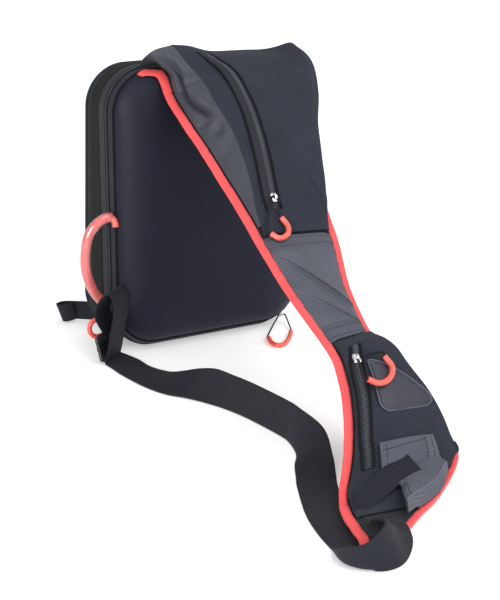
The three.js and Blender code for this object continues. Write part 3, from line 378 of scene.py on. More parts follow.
def column(at, values, s):
    """A smooth curve through values at places: cubic Hermite, with slopes between each row's neighbours."""
    at, values, s = np.asarray(at, float), np.asarray(values, float), np.asarray(s, float)
    k = np.arange(len(at))
    before, after = np.maximum(k - 1, 0), np.minimum(k + 1, len(at) - 1)
    reach = (at[after] - at[before]).reshape((-1,) + (1,) * (values.ndim - 1))
    slope = (values[after] - values[before]) / reach
    i = np.clip(np.searchsorted(at, s, side="right") - 1, 0, len(at) - 2)
    span = at[i + 1] - at[i]
    f = np.clip((s - at[i]) / span, 0, 1)
    if values.ndim > 1:
        f, span = f[..., None], span[..., None]
    start = (2 * f**3 - 3 * f**2 + 1) * values[i] + (f**3 - 2 * f**2 + f) * slope[i] * span
    return start + (3 * f**2 - 2 * f**3) * values[i + 1] + (f**3 - f**2) * slope[i + 1] * span


def smooth_path(points, count):
    """Evenly spaced points on a smooth curve through a few, which lie at the sum of root chord lengths."""
    points = np.asarray(points, float)
    chord = np.sqrt(np.linalg.norm(np.diff(points, axis=0), axis=1))
    at = np.concatenate([[0], np.cumsum(chord)])
    dense = column(at, points, np.linspace(0, at[-1], count * 8))
    return resample(dense, count)


def running_length(path):
    """Length along a polyline from its start to each of its points."""
    return np.concatenate([[0], np.cumsum(np.linalg.norm(np.diff(path, axis=0), axis=1))])


def whole_length(path):
    """Length of a polyline."""
    return float(np.linalg.norm(np.diff(path, axis=0), axis=1).sum())


def resample(path, count):
    """Points at equal steps of length along a polyline."""
    run = running_length(path)
    at = np.linspace(0, run[-1], count)
    return np.stack([np.interp(at, run, path[:, k]) for k in range(path.shape[1])], -1)


def bell(x, spread):
    """A smooth hump of height 1 at 0."""
    return np.exp(-(x / spread) ** 2)


def smooth(x, low, high):
    """0 below low, 1 above high, with a smooth step between."""
    f = np.clip((x - low) / (high - low), 0, 1)
    return f * f * (3 - 2 * f)


def between(x, start, full, fade, end):
    """0 outside start and end, 1 from full to fade, with smooth steps between."""
    return smooth(x, start, full) * (1 - smooth(x, fade, end))


def strap_frame(s):
    """The strap's axes at rows s: left edge, width, across it, along it and out of its outer face."""
    s = np.asarray(s, float)
    left, right = column(ROWS, STRAP[:, :3], s), column(ROWS, STRAP[:, 3:], s)
    span = right - left
    width = np.linalg.norm(span, axis=-1)
    middles = (STRAP[:, :3] + STRAP[:, 3:]) / 2
    after, before = np.minimum(s + ROW_STEP, TIP), np.maximum(s - ROW_STEP, 0)
    ahead = column(ROWS, middles, after) - column(ROWS, middles, before)
    across, ahead = span / width[..., None], unit(ahead)
    return left, width, across, ahead, unit(np.cross(ahead, across))


def strap_point(s, over, high):
    """The point a distance over from the strap's left edge and high above its middle face, at row s."""
    s, over, high = np.broadcast_arrays(s, over, high)
    left, _, across, _, out = strap_frame(s)
    return left + across * over[..., None] + out * high[..., None]


def pair(x, y):
    """Two arrays as the last axis of one."""
    return np.stack(np.broadcast_arrays(x, y), -1)


def grid_normals(points):
    """Normals of a grid of points: the cross product of its steps along and across."""
    return unit(np.cross(np.gradient(points, axis=0), np.gradient(points, axis=1)))


def spline(knots, f):
    """Catmull-Rom curve through knots, an array of knots by rows by 2, at shares f, rows by columns."""
    f = np.broadcast_to(f, (knots.shape[1], np.shape(f)[-1]))
    last = len(knots) - 1
    i = np.clip((f * last).astype(int), 0, last - 1)
    w = (f * last - i)[..., None]
    row = np.arange(knots.shape[1])[:, None]
    p0, p1, p2, p3 = (knots[np.clip(i + k, 0, last), row] for k in (-1, 0, 1, 2))
    v0, v1 = (p2 - p0) / 2, (p3 - p1) / 2
    return (2 * p1 - 2 * p2 + v0 + v1) * w**3 + (3 * p2 - 3 * p1 - 2 * v0 - v1) * w**2 + v0 * w + p1


def yoke_knots(s):
    """Cross-section of the shoulder pocket's top, from the grey side over crown and shoulder to the right."""
    left_in, left_high, _, crown, shoulder, right_out, right_high = column(YOKE[:, 0], YOKE[:, 1:], s).T
    width = strap_frame(s)[1]
    right = width + right_out
    reach = right - left_in
    at_crown, at_slope, at_shoulder = (left_in + share * reach for share in YOKE_SHARES)
    return np.stack([
        pair(left_in, left_high), pair(at_crown, crown),
        pair(at_slope, (crown + shoulder) / 2), pair(at_shoulder, shoulder),
        pair(right, right_high), pair(width - PANEL_INSET, PANEL_BASE),
    ])


def bellows_knots(s):
    """Cross-section of the shoulder pocket's grey side, from its foot over the bulge to the top."""
    left_in, left_high, bulge = column(YOKE[:, 0], YOKE[:, 1:4], s).T
    middle = pair((PANEL_INSET + left_in) / 2 - bulge, (PANEL_BASE + left_high) / 2)
    return np.stack([pair(PANEL_INSET, PANEL_BASE + 0 * left_in), middle, pair(left_in, left_high)])


def lower_knots(s):
    """Cross-section of the chest pocket, from its left foot over the crown to the right edge and its foot."""
    left_high, crown, right_out, right_high = column(LOWER[:, 0], LOWER[:, 1:], s).T
    width = strap_frame(s)[1]
    right = width + right_out
    return np.stack([
        pair(PANEL_INSET, PANEL_BASE + 0 * crown), pair(PANEL_INSET + LOWER_FOOT, left_high),
        pair(width * LOWER_CROWN, crown), pair(right - LOWER_ROUND[0], right_high),
        pair(right, right_high - LOWER_ROUND[1]), pair(width - PANEL_INSET, PANEL_BASE),
    ])


def section_height(knots_at, s, over):
    """Height of a cross-section at a distance across: the span that holds its share is halved 22 times."""
    s, over = np.broadcast_arrays(np.asarray(s, float), np.asarray(over, float))
    knots = knots_at(s.ravel())
    last = len(knots) - 1
    low = np.zeros((s.size, 1))
    high = np.full((s.size, 1), (last - 1) / last)
    for _ in range(22):
        f = (low + high) / 2
        left = spline(knots, f)[..., 0] < over.reshape(-1, 1)
        low, high = np.where(left, f, low), np.where(left, high, f)
    return spline(knots, low)[..., 1].reshape(s.shape)


def yoke_height(s, over):
    """Height of the shoulder pocket's top."""
    return section_height(yoke_knots, s, over)


def lower_height(s, over):
    """Height of the chest pocket."""
    return section_height(lower_knots, s, over)


def pad_height(s, over):
    """Height of the pad's outer face: thin under the binding, then a slope up to its full half thickness."""
    width = strap_frame(s)[1]
    inside = np.minimum(over, width - over) - PAD_THIN_WIDE
    return PAD_THIN + (PAD_HALF - PAD_THIN) * np.clip(inside / PAD_SLOPE, 0, 1)


def on_cloth(height, s, over, lift=0.0):
    """Points lifted off the cloth along its normal, and the normals, from small steps along and across."""
    s, over = np.broadcast_arrays(np.asarray(s, float), np.asarray(over, float))
    place = lambda a, b: strap_point(a, b, height(a, b))
    along = place(s + CLOTH_STEP[0], over) - place(s - CLOTH_STEP[0], over)
    across = place(s, over + CLOTH_STEP[1]) - place(s, over - CLOTH_STEP[1])
    normal = unit(np.cross(along, across))
    return place(s, over) + normal * np.asarray(lift)[..., None], normal


def cloth_wall(knots_at, s, f, lift):
    """A cloth whose cross-section at each row is a curve, moved out along the curve's normal by lift."""
    knots = knots_at(s)
    flat = spline(knots, f)
    slope = spline(knots, np.minimum(f + SHARE_STEP, 1)) - spline(knots, np.maximum(f - SHARE_STEP, 0))
    normal = unit(np.stack([-slope[..., 1], slope[..., 0]], -1))
    flat = flat + normal * lift[..., None]
    return strap_point(s[:, None], flat[..., 0], flat[..., 1])


# Meshes

# The inner ring of a tube's cap as a share of the tube, and how near in metres points are joined
CAP_RING, JOINED = 0.6, 1e-7
# The least share of its rectangle that a cut piece of cloth fills
LEAST_CUT = 0.31
# A stitch's height as a share of its width
STITCH_FLAT = 0.62
# A zip tooth: its lean, its length, width and height as shares of the zip's width and pitch, and its place
TOOTH_LEAN, TOOTH_LONG, TOOTH_WIDE, TOOTH_HIGH, TOOTH_OUT = 0.35, 0.66, 0.62, 0.36, 0.21


def fill_mesh(name, points, faces):
    """A smooth mesh from points in millimetres and faces that all have the same number of corners."""
    mesh = bpy.data.meshes.new(name)
    mesh.vertices.add(len(points))
    mesh.vertices.foreach_set("co", np.ascontiguousarray(points * MM, dtype=np.float32).ravel())
    mesh.loops.add(faces.size)
    mesh.loops.foreach_set("vertex_index", np.ascontiguousarray(faces, dtype=np.int32).ravel())
    mesh.polygons.add(len(faces))
    mesh.polygons.foreach_set("loop_start", np.arange(0, faces.size, faces.shape[1], dtype=np.int32))
    mesh.update(calc_edges=True)
    mesh.shade_smooth()
    return mesh


def place_object(name, mesh, key, nodes=(), slot=None):
    """Puts a mesh in the scene on the bag's body, in place of the CAD nodes that it stands for."""
    item = bpy.data.objects.new(name, mesh)
    bpy.context.scene.collection.objects.link(item)
    mesh.materials.append(finish(key))
    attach(item, "root")
    if nodes:
        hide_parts(*nodes)
    return item


def grid_piece(
    name, points, key, nodes=(), slot=None, wall=0.0, loop=False, tube=False, flip=False, caps=False
):
    """A surface through a grid of points, in the finish that key names, with lengths as its UV map.

    loop joins the last row to the first, tube the last column to the first, and caps close a tube's ends.
    """
    if caps:
        ends = points[[0, -1]].mean(axis=1, keepdims=True)
        inner = ends + CAP_RING * (points[[0, -1]] - ends)
        centre = np.repeat(ends, points.shape[1], axis=1)
        points = np.concatenate([centre[:1], inner[:1], points, inner[1:], centre[1:]])
    rows, columns = points.shape[:2]
    wrapped = np.concatenate([points, points[:1]]) if loop else points
    wrapped = np.concatenate([wrapped, wrapped[:, :1]], axis=1) if tube else wrapped
    along = np.linalg.norm(np.diff(wrapped, axis=0), axis=2).mean(axis=1)
    across = np.cumsum(np.linalg.norm(np.diff(wrapped, axis=1), axis=2), axis=1)
    u = np.concatenate([[0], np.cumsum(along)])[:, None] + 0 * wrapped[..., 0]
    v = np.concatenate([np.zeros((len(wrapped), 1)), across], axis=1)
    v = v - v[:, -1:] / 2
    index = np.arange(rows * columns).reshape(rows, columns)
    index = np.concatenate([index, index[:1]]) if loop else index
    index = np.concatenate([index, index[:, :1]], axis=1) if tube else index

    def corners(a):
        """The four corners of each of the grid's faces."""
        quad = np.stack([a[:-1, :-1], a[1:, :-1], a[1:, 1:], a[:-1, 1:]], -1).reshape(-1, 4)
        return quad[:, ::-1] if flip else quad

    mesh = fill_mesh(name, points.reshape(-1, 3), corners(index))
    uv = np.stack([corners(u), corners(v)], -1).reshape(-1, 2) * MM
    layer = mesh.uv_layers.new(name="cloth")
    layer.data.foreach_set("uv", np.ascontiguousarray(uv, dtype=np.float32).ravel())
    if caps:
        work = bmesh.new()
        work.from_mesh(mesh)
        bmesh.ops.remove_doubles(work, verts=work.verts, dist=JOINED)
        work.to_mesh(mesh)
        work.free()
    item = place_object(name, mesh, key, nodes, slot)
    if wall:
        thick = item.modifiers.new("wall", "SOLIDIFY")
        thick.thickness = wall * MM
        thick.offset = -1
    return item


def cut_size(points):
    """Flat width, length and area of a grid of cloth, in metres: longest row and column, and sum of faces."""
    long = np.linalg.norm(np.diff(points, axis=0), axis=2).sum(axis=0).max() * MM
    wide = np.linalg.norm(np.diff(points, axis=1), axis=2).sum(axis=1).max() * MM
    one, two = points[1:, 1:] - points[:-1, :-1], points[1:, :-1] - points[:-1, 1:]
    area = np.linalg.norm(np.cross(one, two), axis=2).sum() / 2 * MM**2
    return wide, long, float(np.clip(area, LEAST_CUT * wide * long, wide * long))


def declare_cloth(points):
    """Works out the flat width, length and area of a piece of cloth's grid, which nothing then uses."""
    wide, long, area = cut_size(points)


def lead_on(points, reach):
    """Rows that carry a tape on past its ends, half as far at the first and dipping at the last."""
    step = np.linspace(0, reach, 4)[1:, None, None]
    first, last = (unit((a - b).mean(axis=0)) for a, b in ((points[0], points[1]), (points[-1], points[-2])))
    last = unit(last - np.array([0, 0, 0.5]))
    return np.concatenate([(points[0] + 0.5 * step * first)[::-1], points, points[-1] + step * last])


def circle(radius, sides):
    """A closed ring of points."""
    turn = np.linspace(0, 2 * np.pi, sides, endpoint=False)
    return radius * pair(np.cos(turn), np.sin(turn))


def capsule(wide, thick, count):
    """A flat strap's closed cross-section: two straight runs joined by half rounds."""
    x = np.linspace(-0.5, 0.5, count) * (wide - thick)
    turn = np.linspace(0, np.pi, 5)[1:-1]
    right = pair(x[-1] + thick / 2 * np.sin(turn), thick / 2 * np.cos(turn))
    return np.concatenate([pair(x, thick / 2), right, pair(x[::-1], -thick / 2), -right])


def sweep(path, profile, side, up):
    """A profile set at each point of a path, with its first axis along side and its second along up."""
    return path[:, None] + profile[:, 0, None] * side[:, None] + profile[:, 1, None] * up[:, None]


def carry(path, profile, side=None):
    """A profile carried along a path. Its first axis lies along side, or in the plane of most of the path."""
    ahead = unit(np.gradient(path, axis=0))
    if side is None:
        plane = np.linalg.svd(path - path.mean(axis=0))[2][2]
        side = np.cross(plane, ahead)
    side = unit(side - (side * ahead).sum(-1, keepdims=True) * ahead)
    return sweep(path, profile, side, np.cross(ahead, side))


def bar(name, points, key, nodes=(), slot=None):
    """A solid bar through rings of points, with closed ends."""
    return grid_piece(name, points, key, nodes, slot, tube=True, caps=True, flip=True)


def rod(name, path, radius, key, sides=16, **extra):
    """A round rod along a path."""
    return bar(name, carry(path, circle(radius, sides)), key, **extra)


# A bead with two poles, used for every stitch and zip tooth: x is its length, y its width, z its height
BEAD = np.array(
    [[-0.5, 0, 0]]
    + [[x, 0.5 * w * y, 0.5 * w * z] for x, w in ((-0.36, 0.8), (0, 1), (0.36, 0.8))
       for y, z in ((1, 0), (0, 1), (-1, 0), (0, -1))]
    + [[0.5, 0, 0]]
)
BEAD_FACES = np.array(
    [[0, 1 + (k + 1) % 4, 1 + k] for k in range(4)]
    + [t for r in (1, 5) for k in range(4)
       for t in ([r + k, r + (k + 1) % 4, r + 4 + k], [r + (k + 1) % 4, r + 4 + (k + 1) % 4, r + 4 + k])]
    + [[13, 9 + k, 9 + (k + 1) % 4] for k in range(4)]
)


def beads(name, centres, ahead, normal, size, key, nodes=(), slot=None):
    """One mesh of many beads: each bead's axes are ahead, the normal, and their cross product."""
    ahead = unit(ahead)
    side = unit(np.cross(normal, ahead))
    up = np.cross(ahead, side)
    local = BEAD * np.asarray(size)
    axes = np.stack([ahead, side, up], 1)
    points = centres[:, None] + np.einsum("kc,ncd->nkd", local, axes)
    faces = BEAD_FACES[None] + len(BEAD) * np.arange(len(centres))[:, None, None]
    mesh = fill_mesh(name, points.reshape(-1, 3), faces.reshape(-1, 3))
    return place_object(name, mesh, key, nodes, slot)


def stations(path, normals, pitch):
    """Evenly spaced places on a path, with the direction and the normal at each."""
    run = running_length(path)
    count = max(int(run[-1] / pitch), 2)
    at = (np.arange(count) + 0.5) * run[-1] / count
    pick = lambda a: np.stack([np.interp(at, run, a[:, k]) for k in range(3)], -1)
    return pick(path), pick(np.gradient(path, axis=0)), unit(pick(normals))


def stitch(name, runs, key, sunk=0.05, wide=0.8):
    """Rows of stitches along paths on a surface, as flat beads set into it."""
    parts = [stations(path, normals, sizes().stitch_pitch) for path, normals in runs]
    centres, ahead, normal = (np.concatenate(group) for group in zip(*parts))
    size = (sizes().stitch_long, wide, STITCH_FLAT * wide)
    return beads(name, centres - normal * sunk, ahead, normal, size, key)


def zip_teeth(name, path, normals, wide, nodes, slot):
    """Two rows of zip teeth that mesh along a path: beads across it, every second one from the other side."""
    centres, ahead, normal = stations(path, normals, sizes().tooth_pitch / 2)
    side = unit(np.cross(normal, ahead))
    turn = np.where(np.arange(len(centres)) % 2 == 0, 1.0, -1.0)[:, None]
    lean = unit(side + TOOTH_LEAN * turn * unit(ahead))
    size = (wide * TOOTH_LONG, sizes().tooth_pitch * TOOTH_WIDE, wide * TOOTH_HIGH)
    centres = centres + side * turn * wide * TOOTH_OUT
    return beads(name, centres, lean, normal, size, "coil", nodes, slot)


# Materials

# The Wave node's bands at scale 1 lie this far apart, along an axis and along the diagonal
WAVE_STEP, WAVE_DIAGONAL = 0.31416, 0.6283 / 1.4142
# The part of a noise's range that its clouds use, and of a weave's range that its colours use
CLOUDS, WEAVE = (0.3, 0.7), (0.15, 0.85)
BUMP = 0.9


def wire(tree, kind, settings=(), **sockets):
    """Adds a node, sets its options and fills its sockets with values or links. An underscore is a space."""
    node = tree.nodes.new(kind)
    for key, value in dict(settings).items():
        setattr(node, key, value)
    for key, value in sockets.items():
        name = int(key[1:]) if key[0] == "_" else key.replace("_", " ")
        socket = node.inputs[name]
        if isinstance(value, bpy.types.NodeSocket):
            tree.links.new(value, socket)
        else:
            socket.default_value = value
    return node


def maths(tree, operation, a, b=0.5):
    """What a Math node makes of two values."""
    return wire(tree, "ShaderNodeMath", {"operation": operation}, _0=a, _1=b).outputs[0]


def start_material(name, rough, **sockets):
    """A material with its Principled shader, and the UV and object coordinates for its patterns."""
    material = bpy.data.materials.new(name)
    material.use_nodes = True
    tree = material.node_tree
    shader = tree.nodes["Principled BSDF"]
    shader.inputs["Roughness"].default_value = rough
    for key, value in sockets.items():
        shader.inputs[key.replace("_", " ")].default_value = value
    where = tree.nodes.new("ShaderNodeTexCoord").outputs
    return material, tree, shader, where["UV"], where["Object"]


def bands(tree, where, pitch, direction):
    """Sine bands across the UV map, pitch millimetres apart, along X, Y or the diagonal."""
    spacing = WAVE_DIAGONAL if direction == "DIAGONAL" else WAVE_STEP
    scale = spacing / (pitch * MM)
    mapping = wire(tree, "ShaderNodeMapping", Vector=where, Scale=(scale, scale, 0))
    wave = wire(
        tree, "ShaderNodeTexWave", {"wave_type": "BANDS", "bands_direction": direction},
        Vector=mapping.outputs[0], Scale=1.0, Distortion=0.0,
    )
    return wave.outputs["Fac"]


def mottle(tree, where, scale, detail=3.0):
    """Soft clouds over the surface."""
    return wire(tree, "ShaderNodeTexNoise", Vector=where, Scale=scale, Detail=detail).outputs["Fac"]


def dress(tree, shader, base, height, clouds, contrast, depth, blotch=0.12):
    """Colour from the weave's height and the clouds, and a bump from the height."""
    base = np.array(base)
    ramp = wire(tree, "ShaderNodeValToRGB", Fac=height)
    for stop, share in zip(ramp.color_ramp.elements, (1 - contrast, 1 + contrast)):
        stop.color = (*np.clip(base * share, 0, 1), 1)
    ramp.color_ramp.elements[0].position, ramp.color_ramp.elements[1].position = WEAVE
    shade = wire(tree, "ShaderNodeMapRange", Value=clouds, From_Min=CLOUDS[0], From_Max=CLOUDS[1],
                 To_Min=1 - blotch, To_Max=1 + blotch)
    tint = wire(tree, "ShaderNodeVectorMath", {"operation": "SCALE"},
                _0=ramp.outputs[0], Scale=shade.outputs[0])
    tree.links.new(tint.outputs[0], shader.inputs["Base Color"])
    bump = wire(tree, "ShaderNodeBump", Strength=BUMP, Distance=depth * MM, Height=height)
    tree.links.new(bump.outputs[0], shader.inputs["Normal"])


def vary_gloss(tree, shader, clouds, low, high, span=(0, 1)):
    """Roughness that follows the clouds from low to high over a span of theirs."""
    spread = wire(tree, "ShaderNodeMapRange", Value=clouds, From_Min=span[0], From_Max=span[1],
                  To_Min=low, To_Max=high)
    tree.links.new(spread.outputs[0], shader.inputs["Roughness"])


def twill_cloth(name, base, pitch, contrast=0.3, depth=0.12, rough=0.85, sheen=0.06):
    """Twill: diagonal ribs broken by the threads that cross them."""
    material, tree, shader, uv, place = start_material(
        name, rough, Sheen_Weight=sheen, Sheen_Roughness=0.5, Specular_IOR_Level=0.16
    )
    ribs = bands(tree, uv, pitch, "DIAGONAL")
    threads = bands(tree, uv, pitch * 0.71, "X")
    height = maths(tree, "MULTIPLY", ribs, maths(tree, "MULTIPLY_ADD", threads, 0.5))
    grain = mottle(tree, uv, 900.0, 2.0)
    height = maths(tree, "ADD", height, maths(tree, "MULTIPLY", grain, 0.35))
    dress(tree, shader, base, height, mottle(tree, place, 22.0), contrast, depth)
    return material


def ripstop_cloth(name, base, square, contrast=0.22, depth=0.16, rough=0.62, sheen=0.05):
    """Ripstop: a grid of raised threads over a fine plain weave."""
    material, tree, shader, uv, place = start_material(
        name, rough, Sheen_Weight=sheen, Specular_IOR_Level=0.3
    )
    lines = [maths(tree, "POWER", bands(tree, uv, square, axis), 3.0) for axis in "XY"]
    weave = [bands(tree, uv, square / 4, axis) for axis in "XY"]
    fine = maths(tree, "MULTIPLY", maths(tree, "ADD", *weave), 0.14)
    height = maths(tree, "ADD", maths(tree, "MULTIPLY", maths(tree, "MAXIMUM", *lines), 0.7), fine)
    dress(tree, shader, base, height, mottle(tree, place, 30.0), contrast, depth, 0.1)
    return material


def ribbed_webbing(name, base, pitch, contrast=0.32, depth=0.2, rough=0.75):
    """Webbing: ribs across the strap that step from one warp line to the next."""
    material, tree, shader, uv, place = start_material(
        name, rough, Sheen_Weight=0.05, Sheen_Roughness=0.4, Specular_IOR_Level=0.2
    )
    ribs = bands(tree, uv, pitch, "X")
    warp = bands(tree, uv, pitch * 1.6, "Y")
    height = maths(tree, "MULTIPLY", ribs, maths(tree, "ADD", maths(tree, "MULTIPLY", warp, 0.7), 0.3))
    height = maths(tree, "ADD", height, maths(tree, "MULTIPLY", mottle(tree, uv, 1200.0, 1.0), 0.3))
    dress(tree, shader, base, height, mottle(tree, place, 26.0), contrast, depth)
    return material


def plain_tape(name, base, pitch, contrast=0.14, depth=0.08, rough=0.7, sheen=0.05):
    """Tape: a fine plain weave of warp and weft."""
    material, tree, shader, uv, place = start_material(
        name, rough, Sheen_Weight=sheen, Specular_IOR_Level=0.2
    )
    height = maths(tree, "MULTIPLY", bands(tree, uv, pitch, "X"), bands(tree, uv, pitch, "Y"))
    height = maths(tree, "ADD", height, maths(tree, "MULTIPLY", mottle(tree, uv, 700.0, 2.0), 0.3))
    dress(tree, shader, base, height, mottle(tree, place, 40.0), contrast, depth, 0.08)
    return material


def moulded_cloth(name, base):
    """Cloth pressed over foam: a very fine flat weave with long soft clouds and a satin sheen."""
    material, tree, shader, _, place = start_material(
        name, 0.55, Sheen_Weight=0.02, Sheen_Roughness=0.45, Specular_IOR_Level=0.16
    )
    weave = maths(tree, "MULTIPLY", mottle(tree, place, 1500.0, 1.0), mottle(tree, place, 420.0, 2.0))
    dress(tree, shader, base, maths(tree, "MULTIPLY", weave, 2.0), mottle(tree, place, 16.0), 0.22, 0.06, 0.1)
    return material


def soft_plastic(name, base, rough, grain=300.0, depth=0.02, **sockets):
    """Moulded plastic or rubber: a slight grain in its colour, roughness and surface."""
    material, tree, shader, _, place = start_material(name, rough, **sockets)
    clouds = mottle(tree, place, grain)
    dress(tree, shader, base, clouds, mottle(tree, place, 60.0), 0.05, depth, 0.05)
    vary_gloss(tree, shader, clouds, rough * 0.85, rough * 1.15, CLOUDS)
    return material


def clear_wall(name, base):
    """A clear tube's tinted wall, with a faint haze in its gloss."""
    material, tree, shader, _, place = start_material(
        name, 0.1, Transmission_Weight=0.68, IOR=1.45, Coat_Weight=1.0, Base_Color=(*base, 1)
    )
    vary_gloss(tree, shader, mottle(tree, place, 90.0), 0.02, 0.12)
    return material


def plated_metal(name, base):
    """Plated zip metal, with fine wear in its gloss."""
    material, tree, shader, _, place = start_material(name, 0.16, Metallic=1.0)
    wear = mottle(tree, place, 700.0)
    dress(tree, shader, base, wear, mottle(tree, place, 150.0), 0.12, 0.02)
    vary_gloss(tree, shader, wear, 0.1, 0.3)
    return material


def finish(key):
    """The named finish, made the first time that it is asked for."""
    tint = {k: tuple(getattr(colours(), k)) for k in BagColours.__annotations__}
    shade = lambda k, share: tuple(share * v for v in tint[k])
    makers = {
        "shell": lambda: moulded_cloth("shell_cloth", tint["shell"]),
        "black": lambda: twill_cloth("black_twill", tint["black"], pitch=2.2, contrast=0.75, depth=0.3),
        "grey": lambda: ripstop_cloth("grey_ripstop", tint["grey"], square=3.3, contrast=0.36, depth=0.24),
        # painted shade: the grey ripstop at 0.6 of its colour, a darker copy of the same cloth that stands in
        # for the shade on the shoulder pocket's grey side
        "side": lambda: ripstop_cloth("shaded_ripstop", shade("grey", 0.6), square=2.6, contrast=0.3),
        "gusset": lambda: twill_cloth("gusset_twill", tint["gusset"], pitch=2.0, contrast=0.3, sheen=0.025),
        "mesh": lambda: ripstop_cloth(
            "strap_lining", shade("black", 0.8), square=3.2, contrast=0.4, depth=0.4, rough=0.9),
        "hem": lambda: plain_tape("grey_hem", shade("grey", 0.98), pitch=0.7),
        # painted highlight: a pale grey at 1.9 times the ripstop's colour, for the thin rod along the pouch's
        # crease
        "painted_highlight_fold": lambda: plain_tape("pouch_fold", shade("grey", 1.9), pitch=0.6),
        "tape": lambda: plain_tape("zip_tape_weave", tint["tape"], pitch=0.9),
        "binding": lambda: plain_tape(
            "red_binding_tape", tint["binding"], pitch=1.0, contrast=0.1, rough=0.62, sheen=0.1),
        "webbing": lambda: ribbed_webbing("black_webbing", tint["webbing"], pitch=1.4, contrast=0.3),
        "cord": lambda: ribbed_webbing("pull_cord_braid", tint["thread"], pitch=0.9),
        "thread": lambda: soft_plastic("dark_thread", tint["thread"], rough=0.7, Specular_IOR_Level=0.1),
        "pale_thread": lambda: soft_plastic("navy_thread", tint["navy"], rough=0.6),
        "red_thread": lambda: soft_plastic("red_thread", shade("binding", 0.35), rough=0.7),
        "badge": lambda: soft_plastic("patch_rubber", tint["badge"], rough=0.5, grain=500.0, depth=0.05),
        "rim": lambda: soft_plastic("patch_rim", shade("badge", 2.6), rough=0.45),
        "coil": lambda: soft_plastic("zip_teeth", tint["coil"], rough=0.4),
        "sleeve": lambda: soft_plastic("red_sleeve", tint["sleeve"], rough=0.38, Subsurface_Weight=0.15),
        "core": lambda: soft_plastic("grip_core", tint["tube"], rough=0.35, Subsurface_Weight=0.25),
        "clear": lambda: clear_wall("grip_wall", tint["wall"]),
        "plastic": lambda: soft_plastic("adjuster_plastic", tint["plastic"], rough=0.42),
        "chrome": lambda: plated_metal("zip_plating", tint["plating"]),
    }
    name = f"made_{key}"
    if name not in bpy.context.scene:
        bpy.context.scene[name] = makers[key]()
    return bpy.context.scene[name]


# Bag body

def rim_turn(count):
    """Arc centres and turning angles round the seam's rounded outline, at equal steps of length."""
    arc = CORNER * np.pi / 2
    x, z = HALF
    run = np.cumsum([0, arc, 2 * z, arc, 2 * x, arc, 2 * z, arc, 2 * x])
    at = np.linspace(0, run[-1], count, endpoint=False)
    centre_x = np.interp(at, run, [x, x, x, x, -x, -x, -x, -x, x])
    centre_z = np.interp(at, run, [-z, -z, z, z, z, z, -z, -z, -z])
    turn = np.radians(np.interp(at, run, [-90, 0, 0, 90, 90, 180, 180, 270, 270]))
    return centre_x[:, None], centre_z[:, None], turn[:, None]


def rim_y(z):
    """How far back the rear rim lies at a height: the depth runs straight from the base to the top."""
    return SEAM_Y + DEPTH_BOTTOM + (DEPTH_TOP - DEPTH_BOTTOM) * (z - SEAM_LIFT) / HEIGHT


def rim_band(count, profile):
    """A band round the bag. profile gives distance behind the seam, distance out and drop at a height."""
    x, z, turn = rim_turn(count)
    back, out, drop = profile(MIDDLE + z + CORNER * np.sin(turn))
    grown = np.where(np.sin(turn) < 0, drop, out)
    px = x + (CORNER + out) * np.cos(turn)
    pz = MIDDLE + z + (CORNER + grown) * np.sin(turn)
    return np.stack(np.broadcast_arrays(px, SEAM_Y + back, pz), -1)


def rim_normal(count):
    """Directions out of the outline."""
    _, _, turn = rim_turn(count)
    return np.concatenate([np.cos(turn), 0 * turn, np.sin(turn)], axis=1)


def table_band(table, columns):
    """Profile of a band from a table of its rows, with extra rows between."""
    back = np.linspace(table[0, 0], table[-1, 0], columns)
    out, drop = column(table[:, 0], table[:, 1:], back).T
    return lambda z: (back[None] + 0 * z, out[None], drop[None])


def at_back(back, out, drop):
    """Profile of a single line round the bag."""
    return lambda z: (back + 0 * z, out + 0 * z, drop + 0 * z)


def ring_piece(name, profile, key, nodes=(), slot=None, flip=True, **extra):
    """A closed band round the bag."""
    band = rim_band(RIM_STEPS, profile)
    return grid_piece(name, band, key, nodes, slot, loop=True, flip=flip, **extra)


# A domed panel: how its rings crowd to the edge, how flat its top is and how round its shoulder
DOME_CROWD, DOME_FLAT, DOME_ROUND = 1.8, 5, 0.6
SHELL_STEPS, SHELL_WALL, PANEL_STEPS = 120, 3.4, 70


def domed_panel(count, reach, rise, plane, facing):
    """Rings of the outline that shrink to its middle, lifted by a flat-topped curve of the ring."""
    u = np.linspace(-1, 1, count + 1)
    u = np.sign(u) * (1 - (1 - np.abs(u)) ** DOME_CROWD)
    p, q = np.meshgrid(u, u, indexing="ij")
    ring = np.maximum(np.abs(p), np.abs(q))
    safe = np.where(ring == 0, 1, ring)
    half, radius = np.array([WIDTH, HEIGHT]) / 2 + reach, CORNER + reach
    edge = np.stack([p / safe, q / safe], -1) * half
    core = np.clip(edge, radius - half, half - radius)
    over = edge - core
    round_part = (over != 0).all(-1, keepdims=True)
    edge = np.where(round_part, core + radius * unit(over), edge)
    z = MIDDLE + edge[..., 1] * ring
    y = plane(z) + facing * rise * np.maximum(1 - ring**DOME_FLAT, 0) ** DOME_ROUND
    return np.stack([edge[..., 0] * ring, y, z], -1)


class BAG_OT_shell(bpy.types.Operator):
    """Moulded panel that lies against the wearer's back"""

    bl_idname = "bag.shell"
    bl_label = "Moulded Shell"

    def execute(self, context):
        dome = domed_panel(SHELL_STEPS, 0.0, sizes().shell_rise, lambda z: SEAM_Y + 0 * z, -1)
        grid_piece("shell", dome, "shell", ["shell_panel"], "moulded_shell", wall=SHELL_WALL)
        return {"FINISHED"}


